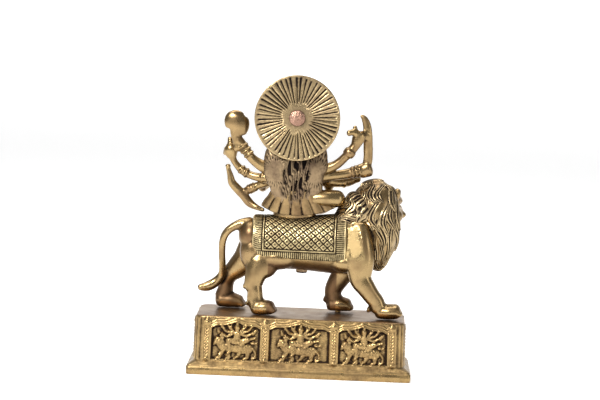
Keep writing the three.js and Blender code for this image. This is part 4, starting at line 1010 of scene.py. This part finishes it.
def skirt():
    """The skirt over the saddle: rings from the hem, whose height follows the hem's curve, up to
    the waist, with broad folds between narrow grooves that fade upward and lean outward."""
    columns, rows = 320, 60
    u = 2 * np.pi * np.arange(columns) / columns
    t = np.linspace(0, 1, rows)[:, None]
    half_x = np.interp(t, [0, 0.15, 0.4, 0.65, 1], [38, 37, 34, 30, 26])
    middle_x = np.interp(t, [0, 0.4, 1], [-5.5, -4, -1.5])
    half_y = np.interp(t, [0, 0.4, 1], [9, 8.4, 7.5])
    middle_y = np.interp(t, [0, 0.4, 1], [0.5, 1.8, 4.5])
    wave = 9 * u + 0.6 * np.sin(2 * u + 0.6) + 1.5 * t * np.sin(u) + 0.3
    fold = (1 - t) ** 0.8 * np.abs(np.sin(wave)) ** 0.5
    groove = np.exp(-(np.sin(wave) / 0.26) ** 2) * (1 - smoothstep(t, 0.75, 1))
    groove = groove * (0.75 + 0.25 * np.sin(3 * u))
    x = middle_x + (half_x + 1.4 * fold - 0.8 * groove) * np.sin(u)
    y = middle_y + (half_y + 1.4 * fold - 0.8 * groove) * np.cos(u)
    hem = np.array(HEM, float)
    low = np.interp(x[0], hem[:, 0], hem[:, 1])
    z = low + (24 - low) * t
    marks = 0.1 + 1.2 * groove + 0.3 * (1 - smoothstep(t, 0, 0.06))
    return ended(np.stack([x, y, z], -1), [-6, 1, low.mean()], [-1.5, 4.5, 24], marks, SEAT)


def durga_parts():
    """Every lofted or round form of the goddess's own casting, each closed in itself, with the
    stud that carries the halo."""
    parts = [limb(CHEST, 44, 10), limb(PADDLE, 40, 10), limb(BOW, 24, 8), limb(BLADE, 24, 8)]
    parts += [limb(arm, 32, 9) for arm in ARMS]
    parts += [limb(leg, 32, 9, dome=1.0) for leg in THIGHS]
    parts += [limb(hand, 24, 8) for hand in HANDS]
    parts += [knob([side * 8, -8, 43], [6.6, 6, 6.4]) for side in (-1, 1)]
    parts += [ring(place, direction, radius, 0.9) for place, direction, radius in BANDS]
    stud = [[0.5, 8, 97.3, 6, 6], [0.5, 18.4, 97.3, 4.6, 4.6]]
    return parts + [limb(stud, 24, 4, (1, 0, 0), dome=0.1)]


def durga_body():
    """The goddess's casting, dark in its hollows."""
    points, quads = one_body([on_seat(part) for part in durga_parts()], DURGA_VOXEL, DURGA_SOFTENING)
    marks = 0.08 + hollows(points, quads, 4, 2.2) + hollows(points, quads, 20, 0.2)
    return points, quads, NO_TRIANGLES, marks


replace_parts(add_piece("durga_body", durga_body(), polished, 0.4), "durga")
add_piece("durga_hair", hair(), dusky, 0.6)
add_piece("durga_skirt", skirt(), polished, 0.5)


def head():
    """A calm, regular face of general proportions: an oval with brows, closed-lip mouth, straight
    nose, almond eyes and long ears with round drops."""
    skull = [[0, -3, 64, 5, 4.5], [0, -4, 69, 6.8, 6.6], [0, -3.5, 75, 8.4, 8.6], [0, -3, 82, 9, 9],
             [0, -2, 90, 8, 8]]
    nose = [[0, -11.3, 82.4, 0.9, 0.9], [0, -12.6, 78.8, 1.1, 1.2], [0, -13.4, 76.2, 1.7, 1.5]]
    upper_lip = [[-2.9, -11.3, 72.9, 0.5, 0.4], [0, -12.3, 73, 0.9, 0.7], [2.9, -11.3, 72.9, 0.5, 0.4]]
    lower_lip = [[-2.3, -11.4, 71.8, 0.5, 0.4], [0, -12.2, 71.4, 0.9, 0.8], [2.3, -11.4, 71.8, 0.5, 0.4]]
    upper_lid = [[1.5, -11.6, 79.2, 0.4, 0.35], [3.6, -12.4, 80.2, 0.5, 0.4], [5.9, -10.6, 79.2, 0.4, 0.35]]
    lower_lid = [[1.5, -11.6, 79, 0.35, 0.3], [3.6, -12, 78.2, 0.4, 0.35], [5.9, -10.6, 79, 0.35, 0.3]]
    brow = [[1.4, -11.7, 82, 0.4, 0.4], [3.8, -11.9, 83.3, 0.5, 0.45], [6.6, -9.6, 82.2, 0.3, 0.3]]
    ear = [[9, -2, 81, 1.6, 1.2], [9.6, -2, 76, 1.4, 1], [9, -2, 71, 1.6, 1.2]]
    parts = [limb(skull, 60, 12, X_AXIS), limb(nose, 20, 8, X_AXIS), limb(upper_lip, 16, 8),
             limb(lower_lip, 16, 8), knob([0, -10, 68.4], [2.7, 2, 1.9])]
    for side in (-1, 1):
        parts.append(knob([side * 3.6, -10.9, 79.2], [2, 1.3, 1]))
        parts += [limb(mirrored(line, side), 12, 8) for line in (upper_lid, lower_lid, brow)]
        parts.append(limb(mirrored(ear, side), 16, 8))
        parts.append(knob([side * 9.4, -2.6, 67.6], [2.4, 2.2, 2.4]))
    return gather([tube(on_seat(part)) for part in parts])


def crown():
    """A tiered crown: a turned profile whose radius swells in petals round each tier."""
    heights = np.linspace(85, 124, 90)
    radius = np.interp(heights, [85, 87, 90, 93, 97, 103, 107, 114, 117, 124],
                       [9.6, 10.6, 10.9, 8.8, 9.2, 6.2, 6.6, 3.6, 3.8, 0.6])
    u = 2 * np.pi * np.arange(120) / 120
    petals = 0.55 * np.abs(np.cos(u[None] * 8)) * (0.5 + 0.5 * np.cos(heights[:, None] * 2 * np.pi / 6))
    r = radius[:, None] + petals
    grid = np.stack([r * np.cos(u), r * np.sin(u) - 2, heights[:, None] + 0 * u], -1)
    return ended(grid, [0, -2, 85], [0, -2, 124.4], 0.5 - 0.8 * petals, SEAT)


def necklaces():
    """Beads strung in two curves over the chest."""
    parts = []
    for half, drop, count, size in ((11, 8, 17, 1.2), (14.5, 17, 25, 1)):
        for k in range(count):
            share = 2 * k / (count - 1) - 1
            turn = share * 1.4
            place = [half * np.sin(turn), -9 - 5 * np.cos(turn), 56 - drop * np.cos(share * 1.5)]
            parts.append(knob(place, [size] * 3, 10, 6))
    return gather([tube(on_seat(part)) for part in parts])


add_piece("durga_face", head(), polished)
add_piece("durga_crown", crown(), polished)
add_piece("durga_necklaces", necklaces(), polished)


# Halo and fastenings


def halo():
    """The halo: a disc whose back has irregular radial flutes. Each flute is a groove
    exp(-(offset / width)^2) across its own direction, wider towards the rim."""
    rim = HALO_DIAMETER / 2
    columns = FLUTE_COUNT * 12
    back_rows, front_rows = 50, 8
    radius = np.concatenate([np.linspace(0.5, rim - 0.6, back_rows), [rim - 0.15, rim, rim, rim - 0.4],
                             np.linspace(rim - 1.5, 0.5, front_rows)])[:, None]
    edge = [HALO_THICKNESS - 0.3, HALO_THICKNESS - 0.9, 0.5, 0]
    depth = np.concatenate([np.full(back_rows, HALO_THICKNESS), edge, np.zeros(front_rows)])
    u = 2 * np.pi * np.arange(columns) / columns
    step = 2 * np.pi / FLUTE_COUNT
    number = np.floor(u / step).astype(int)
    wander = rng.uniform(-0.16, 0.16, FLUTE_COUNT)[number]
    inner = rng.uniform(12.5, 17, FLUTE_COUNT)[number]
    outer = rng.uniform(rim - 3.4, rim - 1.4, FLUTE_COUNT)[number]
    strength = rng.uniform(0.75, 1.1, FLUTE_COUNT)[number]
    offset = ((u / step) % 1 - 0.5 - wander)[None] * step * radius
    width = 0.42 + 0.02 * (radius - 12)
    groove = np.exp(-(offset / width) ** 2) * strength
    groove = groove * smoothstep(radius, inner - 1, inner + 2.5) * smoothstep(outer - radius, -0.6, 1)
    groove[back_rows + 1:] = 0
    grid = np.stack([radius * np.cos(u), depth[:, None] - 0.9 * groove, radius * np.sin(u)], -1)
    marks = 0.1 + 0.95 * groove + 0.25 * smoothstep(13 - radius, 0, 4)
    # The first added term is painted shade: darker towards the top of the disc
    marks = marks + 0.22 * smoothstep(np.sin(u)[None] * radius, 24, 40) + 0.3 * (radius > rim - 0.1)
    return ended(grid, [0, HALO_THICKNESS, 0], [0, 0, 0], marks, HALO_MIDDLE)


def rivet():
    """The rivet's domed head, hammered all over, in a dark seam."""
    rim = RIVET_HEAD / 2
    base = HALO_THICKNESS + GAP
    r = np.concatenate([[rim * 0.97, rim], rim * np.sqrt(np.linspace(1, 0.001, 40))])
    h = np.concatenate([[base, base + 0.5], base + 0.8 + (RIVET_HEIGHT - 0.8) * (1 - (r[2:] / rim) ** 2.6)])
    u = 2 * np.pi * np.arange(120) / 120
    x, z = r[:, None] * np.cos(u), r[:, None] * np.sin(u)
    dents = 0.16 * np.sin(x * 2.6 + np.sin(z * 1.7)) * np.sin(z * 2.4 + np.sin(x * 2.1))
    dents = dents * (r[:, None] < rim * 0.95)
    grid = np.stack([x, h[:, None] + dents, z], -1)
    marks = 0.1 - 0.9 * dents + 0.9 * smoothstep(r[:, None], rim * 0.9, rim)
    return ended(grid, [0, base, 0], [0, base + RIVET_HEIGHT, 0], marks, HALO_MIDDLE)


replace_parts(add_piece("halo_disc", halo(), dusky), "halo")
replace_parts(add_piece("rivet_head", rivet(), coppery), "halo_rivet")
for node, material in (("belly_nut", iron_brown), ("paw_spacer", polished)):
    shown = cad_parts[node]
    shown.data.materials.clear()
    shown.data.materials.append(material)


# Floor, light and camera


def stage_plane(name, corners, glow):
    """A plain matt white plane of the studio, with a glow of its own."""
    mesh = bpy.data.meshes.new(name)
    mesh.from_pydata(corners, [], [(0, 1, 2, 3)])
    matt = bpy.data.materials.new(name)
    matt.use_nodes = True
    shader = matt.node_tree.nodes["Principled BSDF"]
    shader.inputs["Base Color"].default_value = (0.9, 0.9, 0.9, 1)
    shader.inputs["Roughness"].default_value = 0.7
    shader.inputs["Emission Color"].default_value = (1, 1, 1, 1)
    shader.inputs["Emission Strength"].default_value = glow
    mesh.materials.append(matt)
    plane = bpy.data.objects.new(name, mesh)
    bpy.context.scene.collection.objects.link(plane)


def softbox(name, place, size, power):
    """A white rectangular lamp that looks at the statuette's middle."""
    light = bpy.data.lights.new(name, "AREA")
    light.shape = "RECTANGLE"
    light.size, light.size_y = size
    light.energy = power
    holder = bpy.data.objects.new(name, light)
    holder.location = place
    holder.rotation_euler = (Vector((0, 0, 0.15)) - Vector(place)).to_track_quat("-Z", "Y").to_euler()
    bpy.context.scene.collection.objects.link(holder)


def studio():
    """White floor and wall, three lamps and a dim white world."""
    reach = 6.0
    floor = [(-reach, -reach, 0), (reach, -reach, 0), (reach, reach, 0), (-reach, reach, 0)]
    wall = [(-reach, -reach, 0), (reach, -reach, 0), (reach, -reach, reach), (-reach, -reach, reach)]
    stage_plane("floor", floor, 0.35)
    stage_plane("wall", wall, 0.8)
    softbox("key", (0.75, 1.5, 1.25), (0.6, 0.6), 44)
    softbox("fill", (-1.6, 1.3, 0.5), (0.6, 1.2), 6)
    softbox("top", (0.1, -0.2, 1.7), (1.6, 1.0), 24)
    world = bpy.data.worlds.new("studio")
    bpy.context.scene.world = world
    world.use_nodes = True
    background = world.node_tree.nodes["Background"]
    background.inputs["Color"].default_value = (1, 1, 1, 1)
    background.inputs["Strength"].default_value = 0.3
    bpy.context.scene.view_settings.view_transform = "Standard"


def camera():
    """The photograph's view: nearly level, from behind the goddess, with the camera rolled a
    little so that level lines fall to the right."""
    place = Vector((-0.0325, 1.867, 0.3521))
    aim = Vector((0.0053, 0, 0.1726))
    roll = np.radians(2.17)
    lens = bpy.data.cameras.new("camera")
    lens.lens = 112.5
    lens.sensor_width = 36
    holder = bpy.data.objects.new("camera", lens)
    look = (aim - place).to_track_quat("-Z", "Y").to_matrix().to_4x4()
    holder.matrix_world = look @ look.Rotation(roll, 4, "Z")
    holder.location = place
    bpy.context.scene.collection.objects.link(holder)
    bpy.context.scene.camera = holder


studio()
camera()
